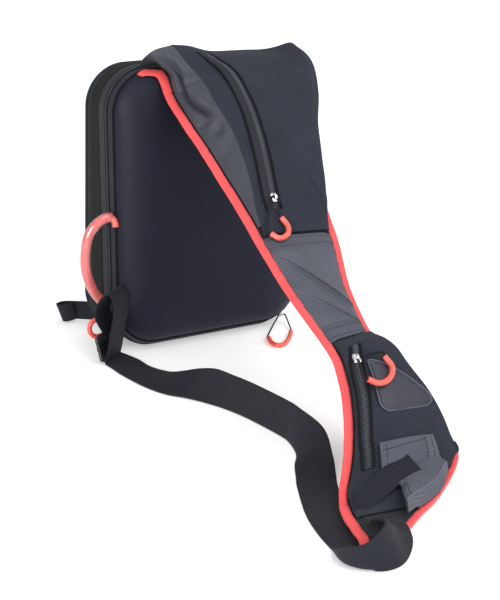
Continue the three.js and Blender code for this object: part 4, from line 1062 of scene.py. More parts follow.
class BAG_OT_sides(bpy.types.Operator):
    """Zip bands, gusset, piping and rear panel"""

    bl_idname = "bag.sides"
    bl_label = "Sides and Rear"

    def execute(self, context):
        wall = sizes().cloth
        for place, table, columns in (("front", FRONT_TAPE, 9), ("rear", REAR_TAPE, 7)):
            ring_piece(f"zip_{place}_band", table_band(table, columns), "tape",
                       [f"main_zip_{place}_tape"], "zip_tape", wall=wall)
        share = np.linspace(0, 1, 14)[None]
        turn = np.linspace(0, 2 * np.pi, 12, endpoint=False)[None]

        def gusset(z):
            """Straight back from the zip, and then in towards the rim."""
            rear_edge = rim_y(z) - SEAM_Y - RIM_GAP
            fall = smooth(share, FLAT_SHARE - 0.1, 1.0)
            back = GUSSET_FRONT + (rear_edge - GUSSET_FRONT) * share
            out = GUSSET_OUT + (RIM_OUT - GUSSET_OUT) * fall
            return back, out, GUSSET_DROP + (RIM_DROP - GUSSET_DROP) * fall

        def bead(z):
            """A circle round the rim's line."""
            reach = PIPING_RADIUS * np.sin(turn)
            return rim_y(z) - SEAM_Y - PIPING_RADIUS * np.cos(turn), PIPING_OUT + reach, PIPING_DROP + reach

        ring_piece("gusset_cloth", gusset, "gusset", ["gusset"], "black_cloth", wall=wall)
        ring_piece("piping", bead, "black", ["rim_piping"], "black_cloth", tube=True)
        panel = domed_panel(PANEL_STEPS, PANEL_EDGE, sizes().panel_rise, rim_y, 1)
        grid_piece("rear_panel", panel, "black", ["outer_panel"], "black_cloth", wall, flip=True)
        self.teeth()
        return {"FINISHED"}

    def teeth(self):
        """The main zip's teeth on a dark backing, stitches along the bands, and rounded folds in dark thread
        colour that paint the shade of the grooves at the tapes' edges.
        """
        close = lambda path: np.concatenate([path, path[:1]])
        line = lambda spot: close(rim_band(RIM_STEPS, at_back(*spot))[:, 0])
        normal = close(rim_normal(RIM_STEPS))
        ring_piece("zip_backing", table_band(ZIP_BACKING, 5), "tape", wall=0.8)
        zip_teeth("main_teeth", line(COIL), normal, MAIN_TEETH, ["main_zip_coil"], "zip_coil")
        stitch("band_stitches", [(line(spot), normal) for spot in BAND_STITCHES], "thread")
        turn = np.linspace(0, 2 * np.pi, 10, endpoint=False)[None]
        reach, lift = ZIP_FOLD_RADIUS * np.cos(turn), ZIP_FOLD_RADIUS * np.sin(turn)
        # painted shade: the folds are rods in the darkest thread colour, standing in for the shadowed grooves
        # along the tapes' edges
        for name, (back, out, drop) in ZIP_FOLDS_PAINTED_SHADE.items():
            fold = lambda z: (back + reach + 0 * z, out + lift, drop + lift)
            ring_piece(f"zip_fold_{name}", fold, "thread", tube=True, flip=False)


class BAG_OT_grip(bpy.types.Operator):
    """Clear tube grip with its red core"""

    bl_idname = "bag.grip"
    bl_label = "Grip"

    def execute(self, context):
        path, radius = smooth_path(HANDLE, 90), sizes().grip_radius
        rod("grip_wall", path, radius, "clear", 28, nodes=["handle_tube"], slot="clear_tube")
        rod("grip_core", path[1:-1], radius * GRIP_CORE_SHARE, "core", 20, slot="clear_tube")
        rod("grip_plug", smooth_path(GRIP_PLUG, 24), GRIP_PLUG_RADIUS, "sleeve", 16)
        return {"FINISHED"}


# Shoulder strap

class BAG_OT_strap(bpy.types.Operator):
    """Padded strap and its folded binding"""

    bl_idname = "bag.strap"
    bl_label = "Strap and Binding"

    def execute(self, context):
        s = np.linspace(0, TIP, STRAP_STEPS)
        width = strap_frame(s)[1][:, None]
        f = (1 - np.cos(np.linspace(0, np.pi, 44))) / 2
        inside = np.minimum(f, 1 - f)[None] * width
        climb = smooth(inside, PAD_THIN_WIDE - 3, PAD_THIN_WIDE + 2 * PAD_SLOPE)
        high = PAD_THIN + (PAD_HALF - PAD_THIN) * climb
        over = f[None] * width
        quilt = QUILT_DEEP * np.cos(s[:, None] * 2 * np.pi / QUILT_ROWS) * smooth(inside, 10, 24)
        top, under = strap_point(s[:, None], over, high), strap_point(s[:, None], over, -high - quilt)
        loop = np.concatenate([top, under[:, -2:0:-1]], axis=1)
        pad = grid_piece("pad", loop, "mesh", ["strap_pad"], "black_cloth", tube=True, caps=True)
        late = slice(BINDING_SKIP, None)
        self.binding("binding_tape_left", s[late], width[late], False, ["binding_left"])
        self.binding("binding_tape_right", s, width, True, ["binding_right"])
        self.binding_start()
        return {"FINISHED"}

    def binding(self, name, s, width, mirror, nodes):
        """A tape folded round the pad's edge: a flat run, a half round and a flat run, with an uneven hem."""
        wide, high = sizes().binding_wide, PAD_THIN + BINDING_OFF
        turn = np.linspace(0.5 * np.pi, 1.5 * np.pi, 9)
        x = np.concatenate([
            np.linspace(wide, BINDING_IN, 6), BINDING_IN + high * np.cos(turn)[1:-1],
            np.linspace(BINDING_IN, wide, 6),
        ])
        y = np.concatenate([np.full(6, high), high * np.sin(turn)[1:-1], np.full(6, -high)])
        uneven = 0.25 * np.sin(7.3 * s) + 0.15 * np.sin(17.1 * s + 1.3) + 0.1 * np.sin(31.7 * s + 0.4)
        over = x[None] + (uneven[:, None] * np.where(x > 4, 1.0, 0.55)[None])
        over = np.minimum(over, (wide - 3.0 * (1 - smooth(s, s[0], s[0] + 0.5)))[:, None])
        puff = 1 + 0.1 * np.sin(23 * s + 0.7)[:, None] * bell(x - 4, 3)[None]
        points = strap_point(s[:, None], width - over if mirror else over, y[None] * puff)
        points = lead_on(points, BINDING_LEAD)
        points[..., 2] = np.maximum(points[..., 2], FLOOR_GAP)
        grid_piece(name, points, "binding", nodes, "red_binding", wall=0.9, flip=not mirror)
        hem = over[:, :1] - BINDING_HEM
        hem = width - hem if mirror else hem
        line = lambda sign: strap_point(s[:, None], hem, sign * high)[:, 0]
        runs = [(line(sign), sign * strap_frame(s)[4]) for sign in (1, -1)]
        stitch(f"{name}_stitches", runs, "red_thread", 0.0, 0.9)

    def binding_start(self):
        """The binding's end on the shell's top edge, between two lines, with a swell of a flattened sine."""

        def line(rim, strap, lift):
            """A smooth line that follows the outline's upper left corner and then turns down the strap."""
            turn, radius = np.radians(rim[:, 0]), CORNER + rim[:, 2]
            x, z = -HALF[0] + radius * np.cos(turn), MIDDLE + HALF[1] + radius * np.sin(turn)
            corner = np.stack([x, SEAM_Y + rim[:, 1], z], -1)
            on_strap = strap_point(strap[:, 0], strap[:, 1], PAD_THIN + lift)
            return smooth_path(np.concatenate([corner, on_strap]), 60)[:, None]

        share = np.linspace(0, 1, 11)[None, :, None]
        lower, upper = line(*START_LOWER), line(*START_UPPER)
        swell = 1.5 * np.sin(np.pi * share) ** 0.6 * np.array([0, -0.7, 0.7])
        points = lower + (upper - lower) * share + swell
        grid_piece("binding_tape_start", points, "binding", ["binding_start"], "red_binding", wall=1.2)


def zip_on_strap(name, table, height, left, right):
    """A zip let into the cloth: a tape, two rows of teeth, and a folded lip and stitches along each side."""
    s = np.linspace(table[0, 0], table[-1, 0], POCKET_STEPS[0])
    coil = column(table[:, 0], table[:, 1], s)
    over = coil[:, None] + np.linspace(-left, right, 11)[None]
    tape, _ = on_cloth(height, s[:, None], over, TAPE_LIFT)
    grid_piece(f"{name}_tape", tape, "tape", [f"{name}_zip_tape"], "zip_tape", wall=0.6)
    path, normal = on_cloth(height, s, coil, TEETH_LIFT)
    zip_teeth(f"{name}_teeth", path, normal, POCKET_TEETH, [f"{name}_zip_coil"], "zip_coil")
    shape = circle(1.0, 12) * np.array(LIP_SHAPE)
    runs = []
    for side, reach in (("left", -left), ("right", right)):
        lip, up = on_cloth(height, s, coil + reach, LIP_LIFT)
        across = unit(np.cross(up, np.gradient(lip, axis=0)))
        # partly painted shade: the lips are real folds of the cloth, but they take the dark thread colour,
        # darker than the black cloth, for the shade of the gap along the zip
        bar(f"{name}_lip_{side}", carry(lip, shape, across), "thread", slot="black_cloth")
        runs.append(on_cloth(height, s, coil + reach + np.sign(reach) * LIP_STITCH, 0.2))
    stitch(f"{name}_zip_stitches", runs, "pale_thread")


class BAG_OT_yoke(bpy.types.Operator):
    """Raised shoulder pocket with its grey side and curved zip"""

    bl_idname = "bag.yoke"
    bl_label = "Shoulder Pocket"

    def execute(self, context):
        s, f = np.linspace(0, YOKE[-1, 0], POCKET_STEPS[0]), np.linspace(0, 1, POCKET_STEPS[1])
        share = f[None]
        points = cloth_wall(yoke_knots, s, share, self.lift(s[:, None], share))
        points = self.turn_down(self.round_off(points, s, bell(share, 0.09)))
        top = grid_piece("yoke_top", points, "black", ["yoke_pocket", "yoke_back"], "black_cloth",
                         wall=sizes().cloth)
        declare_cloth(points)
        normal = grid_normals(points)
        runs = [(points[14:, k] + normal[14:, k] * STITCH_LIFT, normal[14:, k]) for k in (2, 5)]
        stitch("yoke_seam_stitches", runs, "pale_thread", wide=0.6)
        self.side()
        zip_on_strap("yoke", YOKE_ZIP, yoke_height, 11.5, 6.5)
        return {"FINISHED"}

    def lift(self, row, share):
        """How far the top stands off its curve: soft waves, a pull and a crease at the zip's end, less a drag
        line along the shoulder, all of them held at the edges, and three humps at the bag's end."""
        soft = 0.8 * np.sin(3.1 * row + 5.2 * share) * np.sin(7 * share + 0.6 * row)
        pull = 1.3 * bell(row - 4.7 - 0.5 * share, 0.16) * between(share, 0.35, 0.6, 0.75, 0.9)
        drag = 1.1 * bell(share - 0.72 + 0.02 * row, 0.03) * between(row, 0.1, 0.6, 1.5, 3.4)
        line = share - 0.52 - 0.3 * (row - 4.6)
        crease = 2.4 * np.exp(-np.hypot(line / 0.022, 0.25)) * between(row, 4.3, 4.7, 5.1, 5.4)
        edge = between(share, 0, 0.05, 0.94, 1) * smooth(row, 0, 0.2)
        humps = ((3.6, 0.615, 0.055), (-6.0, 0.45, 0.13), (3.0, 0.1, 0.07))
        corner = sum(high * bell(share - at, spread) for high, at, spread in humps) * bell(row, 0.6)
        return (soft + pull + crease - drag) * edge + corner

    def round_off(self, points, s, share):
        """Lowers the ridge where the side meets the top, most towards the bag, so that it is a soft roll."""
        drop = (3.2 * (1 - smooth(s, 0.4, 2.2)) + 0.8)[:, None] * share
        return points - drop[..., None] * strap_frame(s)[4][:, None]

    def turn_down(self, points):
        """Closes a pocket towards the bag: a quarter round from its first row, back and down to the top."""
        left, _, _, _, out = strap_frame(np.zeros(1))
        high = np.maximum((points[0] - left[0]) @ out[0] - PAD_HALF + 2.0, 0)[:, None]
        turn = np.linspace(np.pi / 2, 0, 14, endpoint=False)[:, None, None]
        back = np.array([0, YOKE_BACK, 0])
        closed = points[0] - out[0] * high * (1 - np.cos(turn)) + back * np.sin(turn)
        return np.concatenate([closed, points])

    def side(self):
        """The grey side cloth: slanting folds, a long valley under a ridge, a short tuck and a dent."""
        s, f = np.linspace(0, BELLOWS_END, 240), np.linspace(0, 1, 70)
        row = s[:, None]
        knots = bellows_knots(s)
        long = np.linalg.norm(np.diff(spline(knots, f[None]), axis=1), axis=2).sum(axis=1)
        share = f[None] * (1 - BELLOWS_TUCK / np.maximum(long, 6))[:, None]
        away = row[..., None] - BELLOWS_FOLDS[:, 0] - BELLOWS_FOLDS[:, 2] * (share[..., None] - 0.5)
        folds = (BELLOWS_FOLDS[:, 1] * bell(away, BELLOWS_FOLDS[:, 3])).sum(-1)
        line = 0.5 + 0.15 * np.sin(2.9 * row + 0.2)
        depth = 9.0 * between(row, 0.1, 0.5, 1.9, 2.6)
        valley = depth * (bell(share - line, 0.1) - 0.45 * bell(share - line - 0.24, 0.12))
        tuck = 5.5 * bell(row - 2.38 - 0.2 * (share - 0.2), 0.05) * bell(share - 0.26, 0.2)
        dent = 6.0 * bell(row - 2.78, 0.17) * bell(share - 0.6, 0.2)
        ripple = 0.4 * np.sin(11 * row + 4 * share)
        ripple = ripple - 3.2 * bell(0.76 - share, 0.16) * (1 - smooth(row, 0.2, 1.4))
        low = np.minimum(1, long / 30)[:, None] * np.sin(np.pi * share)
        points = cloth_wall(bellows_knots, s, share, -(folds + valley + tuck + dent + ripple) * low)
        points = self.turn_down(self.round_off(points, s, bell(1 - share, 0.28)))
        # painted shade: the grey side is built in the darkened copy of the grey ripstop, not in its own
        # colour
        item = grid_piece("yoke_side", points, "side", ["yoke_bellows"], "grey_ripstop", wall=sizes().cloth)
        declare_cloth(points)


class BAG_OT_middle(bpy.types.Operator):
    """Grey middle panel with its hems and slanting folds"""

    bl_idname = "bag.middle"
    bl_label = "Middle Panel"

    def surface(self, s, f, lift):
        """The pad's height plus a puff that dies at both sides, and folds that lean over."""
        row, share = s[:, None], f[None]
        width = strap_frame(s)[1][:, None]
        over = PANEL_INSET - MID_UNDER + (width - 2 * PANEL_INSET + 2 * MID_UNDER) * share
        ridge = MID_FOLDS[:, 0] + (MID_FOLDS[:, 1] - MID_FOLDS[:, 0]) * share[..., None]
        away = row[..., None] - ridge
        spread = np.where(away < 0, MID_FOLDS[:, 3], MID_FOLDS[:, 4])
        folds = (MID_FOLDS[:, 2] * np.exp(-np.hypot(away / spread, 0.25))).sum(-1)
        folds = folds * between(row, MID_START + 0.1, MID_START + 0.32, MID_END - 0.35, MID_END - 0.15)
        edge = np.maximum(np.sin(np.pi * share), 0) ** 0.45
        high = pad_height(row + 0 * over, over) + 0.9 + (1.6 + folds) * edge + lift
        lean = FOLD_LEAN * folds * edge * (1 - smooth(share, 0.86, 1))
        return strap_point(row + lean, over, high)

    def execute(self, context):
        s, f = np.linspace(MID_START, MID_END, 150), np.linspace(0, 1, 80)
        points = self.surface(s, f, 0.6)
        item = grid_piece("middle_panel", points, "grey", ["mid_panel"], "grey_ripstop", wall=1.0)
        declare_cloth(points)
        roll = 0.7 * np.maximum(np.sin(np.pi * np.linspace(0.06, 0.94, 14)), 0)[:, None] ** 0.4
        hems = {"upper": (MID_START - 0.02, MID_START + 0.26), "lower": (MID_END - 0.3, MID_END)}
        runs = []
        for name, ends in hems.items():
            hem = self.surface(np.linspace(*ends, 14), np.linspace(0.01, 0.99, 60), 0.5 + roll)
            grid_piece(f"middle_hem_{name}", hem, "hem", slot="grey_ripstop", wall=0.8)
            normal = grid_normals(hem)
            runs += [(hem[k] + STITCH_LIFT * normal[k], normal[k]) for k in (3, 10)]
        stitch("middle_stitches", runs, "thread", wide=0.7)
        return {"FINISHED"}


class BAG_OT_chest(bpy.types.Operator):
    """Chest pocket with its zip and bare patch"""

    bl_idname = "bag.chest"
    bl_label = "Chest Pocket"

    def execute(self, context):
        s = np.linspace(LOWER[0, 0], LOWER[-1, 0], POCKET_STEPS[0])
        row, share = s[:, None], np.linspace(0, 1, POCKET_STEPS[1])[None]
        soft = 0.6 * np.sin(4.2 * row + 4 * share) * np.sin(6 * share + 1.1 * row)
        edge = between(share, 0, 0.06, 0.72, 0.8) * smooth(row, LOWER[0, 0], 8.3)
        points = cloth_wall(lower_knots, s, share, soft * edge)
        item = grid_piece("chest_pocket", points, "black", ["lower_pocket"], "black_cloth",
                          wall=sizes().cloth)
        declare_cloth(points)
        normal = grid_normals(points)
        # A seam down the right of the crown, and one across below the top edge
        lines = ((slice(4, None), 62), (5, slice(8, 66)))
        runs = [(points[line] + STITCH_LIFT * normal[line], normal[line]) for line in lines]
        stitch("chest_seam_stitches", runs, "pale_thread", wide=0.6)
        zip_on_strap("lower", LOWER_ZIP, lower_height, 6.4, 6.4)
        self.patch()
        return {"FINISHED"}

    def patch(self):
        """A bare rubber patch: a flat middle with a raised rim, and stitches inside the rim."""
        s, f = np.linspace(BADGE[0, 0], BADGE[-1, 0], 60), np.linspace(0, 1, 60)
        left, right = column(BADGE[:, 0], BADGE[:, 1:], s).T
        over = left[:, None] + (right - left)[:, None] * f[None]
        step = np.linalg.norm(np.gradient(strap_point(s, left + 20, 0), axis=0), axis=1).cumsum()
        ends = np.minimum(step - step[0], step[-1] - step)[:, None]
        margin = np.minimum(np.minimum(over - left[:, None], right[:, None] - over), ends)
        lift = 1.0 + 0.9 * bell(margin - 1.3, 0.9) - 0.3 * bell(margin - 3.4, 0.7)
        points, _ = on_cloth(lower_height, s[:, None] + 0 * over, over, lift)
        grid_piece("patch", points, "badge", ["badge_patch"], "badge", wall=1.1)
        rows = BADGE[0, 0] + (BADGE[-1, 0] - BADGE[0, 0]) * np.linspace(0.08, 0.92, 60)
        start, end = column(BADGE[:, 0], BADGE[:, 1:], rows).T
        across = start[-1] + (end[-1] - start[-1]) * np.linspace(0.06, 0.94, 40)
        inset, high = PATCH_STITCH
        lines = ((rows, start + inset), (rows, end - inset), (rows[-1] + 0 * across, across))
        stitch("patch_stitches", [on_cloth(lower_height, *line, high) for line in lines], "thread")
        inset, high, radius = PATCH_RIM
        loop = np.concatenate([pair(s, left + inset), pair(s, right - inset)[::-1]])
        path, _ = on_cloth(lower_height, loop[:, 0], loop[:, 1], high)
        path = resample(np.concatenate([path, path[:2]]), 60)
        rod("patch_rim", smooth_path(path, 200), radius, "rim", 8)


class BAG_OT_pouch(bpy.types.Operator):
    """Open tool pouch with its hem and the strap across it"""

    bl_idname = "bag.pouch"
    bl_label = "Tool Pouch"

    def place(self, down, f):
        """Strap row and distance across on the pouch: four corners blended both ways, and a bowed mouth."""
        corner = {k: np.array(v) for k, v in POUCH.items()}
        down, f = np.broadcast_arrays(down, f)
        bow = 17 * (1 - f) ** 2 * bell(down - 0.52, 0.27)
        down, f = down[..., None], f[..., None]
        top = corner["top_left"] + (corner["top_right"] - corner["top_left"]) * f
        low = corner["low_left"] + (corner["low_right"] - corner["low_left"]) * f
        blend = top + (low - top) * down
        return blend[..., 0], blend[..., 1] + bow

    def rise(self, down, f):
        """How far the pouch stands off: a slight swell, and an arch at the lower half of its open side."""
        arch = 10 * (1 - f) ** 1.4 * bell(down - 0.78, 0.2) * (1 - smooth(down, 0.93, 1))
        return 2.0 * np.sin(np.pi * down) + arch

    def ridge(self, f):
        """How far down the long crease runs, from the open side to the right side."""
        return 0.945 - 0.18 * f * (1 - f)

    def surface(self, down, f, lift):
        """The chest pocket's height plus the pouch's rise, two ripples and a long crease along the ridge."""
        s, over = self.place(down, f)
        away = down - self.ridge(f)
        folds = 5.2 * np.exp(-np.hypot(away / np.where(away < 0, 0.13, 0.06), 0.2))
        folds = folds + 0.8 * bell(f - 0.4 - 0.6 * (down - 0.8), 0.14)
        folds = folds - 0.8 * bell(f - 0.72 - 0.5 * (down - 0.8), 0.12)
        base = lower_height(np.minimum(s, LOWER[-1, 0]), over)
        loose = between(down, 0.54, 0.66, 0.96, 1.0)
        return strap_point(s, over, base + self.rise(down, f) + folds * loose + lift)

    def execute(self, context):
        down, f = np.linspace(0, 1, 80)[:, None], np.linspace(0, 1, 80)[None]
        points = self.surface(down, f, POUCH_LIFT["cloth"])
        item = grid_piece("pouch_cloth", points, "grey", ["tool_pouch"], "grey_ripstop", wall=1.2)
        declare_cloth(points)
        down, f = np.linspace(-0.01, FACE_DOWN, 40)[:, None], np.linspace(-0.005, FACE_ACROSS, 60)[None]
        face = self.surface(down, f, POUCH_LIFT["face"])
        grid_piece("pouch_face", face, "hem", slot="grey_ripstop", wall=0.7)
        mouth = self.surface(np.linspace(0.5, 1, 60), np.zeros(60), POUCH_LIFT["mouth"])
        rod("pouch_mouth", mouth, 0.9, "tape", 8, slot="zip_tape")
        # painted highlight: a thin pale rod along the crease stands in for the light line that the crease
        # catches
        long = np.linspace(0.01, 0.97, 80)
        fold = self.surface(self.ridge(long), long, POUCH_LIFT["fold"])
        rod("pouch_fold", fold, 0.6, "painted_highlight_fold", 8, slot="grey_ripstop")
        stitch("pouch_stitches", self.seams(), "thread")
        self.tab()
        return {"FINISHED"}

    def seams(self):
        """Six rows of stitches as shares down and across, with normals from small steps both ways."""
        long = np.linspace(0.02, 0.98, 60)
        level = 0 * long
        lines = (
            (0.05 + level, long * FACE_ACROSS), (long * FACE_DOWN, 0.1 + level),
            (long * FACE_DOWN, 0.815 + level),
            (long * 0.62, 0.93 + level), (0.58 + 0.34 * long, 0.05 + level),
            (0.58 + 0.34 * long, 0.12 + level),
        )
        point = lambda a, b: self.surface(a, b, POUCH_LIFT["stitches"])
        runs = []
        for a, b in lines:
            along = point(a + PART_STEP, b) - point(a - PART_STEP, b)
            across = point(a, b + PART_STEP) - point(a, b - PART_STEP)
            normal = unit(np.cross(along, across))
            runs.append((point(a, b) + STITCH_LIFT * normal, normal))
        return runs

    def tab(self):
        """The strap from the left binding over the pouch, as high as a running mean of the cloth under it."""
        f = np.linspace(0, 1, 90)
        middle = TAB_FROM + (TAB_TO - TAB_FROM) * f[:, None]
        half = TAB_HALF[0] + (TAB_HALF[1] - TAB_HALF[0]) * f[:, None]
        down, across = np.meshgrid(np.linspace(0, 1, 50), np.linspace(0, 1, 50), indexing="ij")
        spots = np.stack(self.place(down, across), -1).reshape(-1, 2) * ROW_LONG

        def cloth_high(spot):
            """Height of the chest pocket, and of the pouch where its nearest spot is close."""
            near = ((spot[:, None] * ROW_LONG - spots[None]) ** 2).sum(-1)
            on_pouch = self.rise(down, across).ravel()[near.argmin(1)] + 2.8
            return lower_height(spot[:, 0], spot[:, 1]) + on_pouch * (1 - smooth(np.sqrt(near.min(1)), 3, 9))

        cloth = np.max([cloth_high(middle + k * half) for k in (-0.7, 0, 0.7)], axis=0) + 1.2
        line = cloth[0] + (cloth[-1] - cloth[0]) * f
        need = np.pad(np.maximum(cloth - line, 0), TAB_MEAN, mode="edge")
        count = 2 * TAB_MEAN + 1
        need = np.convolve(need, np.full(count, 1 / count), mode="valid")
        level = np.maximum(line + need, 0.6 * cloth + 0.4 * (line + need))
        centre = resample(strap_point(middle[:, 0], middle[:, 1], level), 90)
        ahead, out = unit(np.gradient(centre, axis=0)), strap_frame(middle[:, 0])[4]
        side = unit(np.cross(ahead, out))
        side = unit(side - TAB_TILT * np.cross(side, ahead))
        up = np.cross(side, ahead)
        wide = sizes().tail_wide
        shape = capsule(wide, TAB_THICK, 15)
        slant = TAB_SLANT * (wide / 2 - shape[:, 0]) * (1 - smooth(f, 0, 0.4))[:, None]
        points = sweep(centre, shape, side, up) + slant[..., None] * ahead[:, None]
        item = bar("pouch_strap", points, "webbing", ["pouch_tab"], "webbing")
        whole_length(centre) * MM
        first, last = TAB_BOX
        reach, box = 0.42 * wide, slice(first, last + 1)
        span = np.linspace(-reach, reach, 20)[:, None]
        top = centre + up * TAB_STITCH
        runs = [(top[k] + span * side[k], np.repeat(up[k:k + 1], 20, axis=0)) for k in TAB_BOX]
        runs += [((top + j * reach * side)[box], up[box]) for j in (-1, 1)]
        stitch("pouch_strap_stitches", runs, "thread", wide=0.9)


# Webbing and hardware

def leaning_rows(table, wide):
    """Outer edge, middle and inner edge of a strap whose outer edge follows a table of places and leans."""
    rows = np.arange(len(table), dtype=float)
    step = lambda k: column(rows, table[:, :3], np.clip(rows + k, 0, rows[-1]))
    ahead = unit((step(ROW_STEP) - step(-ROW_STEP)) * np.array([1, 1, 0]))
    inward = np.cross(UP, ahead)
    lean, skew = np.radians(table[:, 3:]).T[..., None]
    level = inward * np.cos(skew) + np.cross(UP, inward) * np.sin(skew)
    rise = level * np.cos(lean) + UP * np.sin(lean)
    return table[:, None, :3] + np.array([0, 0.5, 1])[:, None] * wide * rise[:, None]


def lay_strap(name, rows, wide, thick, count, nodes):
    """A flat strap through rows of its outer edge, middle and inner edge, which a parabola joins across."""
    at = np.arange(len(rows), dtype=float)
    lines = column(at, rows.reshape(-1, 9), np.linspace(0, at[-1], count)).reshape(-1, 3, 1, 3)
    outer, middle, inner = lines[:, 0], lines[:, 1], lines[:, 2]
    shape = capsule(wide, thick, 17)
    f = (shape[:, 0] / wide + 0.5)[:, None]
    flat = outer * (1 - f) * (1 - 2 * f) + 4 * middle * f * (1 - f) + inner * f * (2 * f - 1)
    across = outer * (4 * f - 3) + middle * (4 - 8 * f) + inner * (4 * f - 1)
    face = unit(np.cross(np.gradient(flat, axis=0), across))
    points = flat + face * shape[:, 1:]
    item = grid_piece(name, points, "webbing", nodes, "webbing", tube=True, caps=True)
    whole_length(middle[:, 0]) * MM


class BAG_OT_webbing(bpy.types.Operator):
    """Sling webbing, the loop over the adjuster and the strap end behind the bag"""

    bl_idname = "bag.webbing"
    bl_label = "Webbing"

    def execute(self, context):
        size = sizes()
        sling = np.concatenate([leaning_rows(SLING, size.webbing_wide), SLING_CURL])
        lay_strap("sling", sling, size.webbing_wide, size.webbing_thick, 460, ["sling_webbing"])
        tail = np.concatenate([leaning_rows(TAIL, size.tail_wide), TAIL_CURL])
        lay_strap("tail", tail, size.tail_wide, size.webbing_thick, 160, ["tail_webbing"])
        rows = np.arange(len(LOOP), dtype=float)
        table = column(rows, LOOP, np.linspace(0, rows[-1], 200))
        path = LOOP_FOOT + ADJUSTER_ACROSS * (LOOP_SIDE + table[:, 2:]) + ADJUSTER_AHEAD * table[:, :1]
        path = path + UP * table[:, 1:2]
        self.bent("loop", path, ["anchor_tab"], ["gusset_cloth", "adjuster"])
        # The sling's end goes over the adjuster's lower bar, behind its middle bar and over its upper bar
        out = np.cross(ADJUSTER_DOWN, ADJUSTER_ACROSS)
        woven = ADJUSTER_CENTRE + WOVEN_END[:, :1] * ADJUSTER_DOWN + WOVEN_END[:, 1:] * out
        self.bent("sling_end", smooth_path(woven, 80), (), ["adjuster"])
        return {"FINISHED"}

    def bent(self, name, path, nodes, rests_on):
        """Webbing that bends along a path and stays level across, as wide as the adjuster's slots."""
        size = sizes()
        across = np.repeat(ADJUSTER_ACROSS[None], len(path), axis=0)
        face = unit(np.cross(np.gradient(path, axis=0), across))
        shape = capsule(size.webbing_wide, size.webbing_thick, 17)
        item = bar(name, sweep(path, shape, across, face), "webbing", nodes, "webbing")
        flat = (size.webbing_wide * MM, whole_length(path) * MM)


class BAG_OT_adjuster(bpy.types.Operator):
    """Ladder adjuster: a rounded frame with two slots round a middle bar"""

    bl_idname = "bag.adjuster"
    bl_label = "Adjuster"

    def execute(self, context):
        out = np.cross(ADJUSTER_ACROSS, ADJUSTER_DOWN)
        x, y = ADJUSTER_WIDE / 2 - ADJUSTER_INSET[0], ADJUSTER_LONG / 2 - ADJUSTER_INSET[1]
        turn = np.radians(np.arange(0, 360, 6.0))
        side = np.sign(np.cos(turn + 0.01)), np.sign(np.sin(turn + 0.01))
        ring = pair(side[0] * (x - ADJUSTER_CORNER), side[1] * (y - ADJUSTER_CORNER))
        ring = ring + ADJUSTER_CORNER * pair(np.cos(turn), np.sin(turn))
        ring = resample(np.concatenate([ring, ring[:1]]), 120)[:-1]
        place = lambda flat: ADJUSTER_CENTRE + flat[:, :1] * ADJUSTER_ACROSS + flat[:, 1:] * ADJUSTER_DOWN
        path = place(ring)
        ahead = unit(np.roll(path, -1, axis=0) - np.roll(path, 1, axis=0))
        shape = circle(1.0, 14)
        shape = np.sign(shape) * np.abs(shape) ** 0.7 * ADJUSTER_BAR
        points = sweep(path, shape, np.cross(out[None], ahead), out[None])
        grid_piece("adjuster", points, "plastic", ["ladder_lock"], "black_plastic",
                   loop=True, tube=True, flip=True)
        line = place(pair(np.linspace(-x, x, 30), np.zeros(30)))
        points = carry(line, shape, np.repeat(ADJUSTER_DOWN[None], 30, axis=0))
        bar("adjuster_bar", points, "plastic", slot="black_plastic")
        return {"FINISHED"}


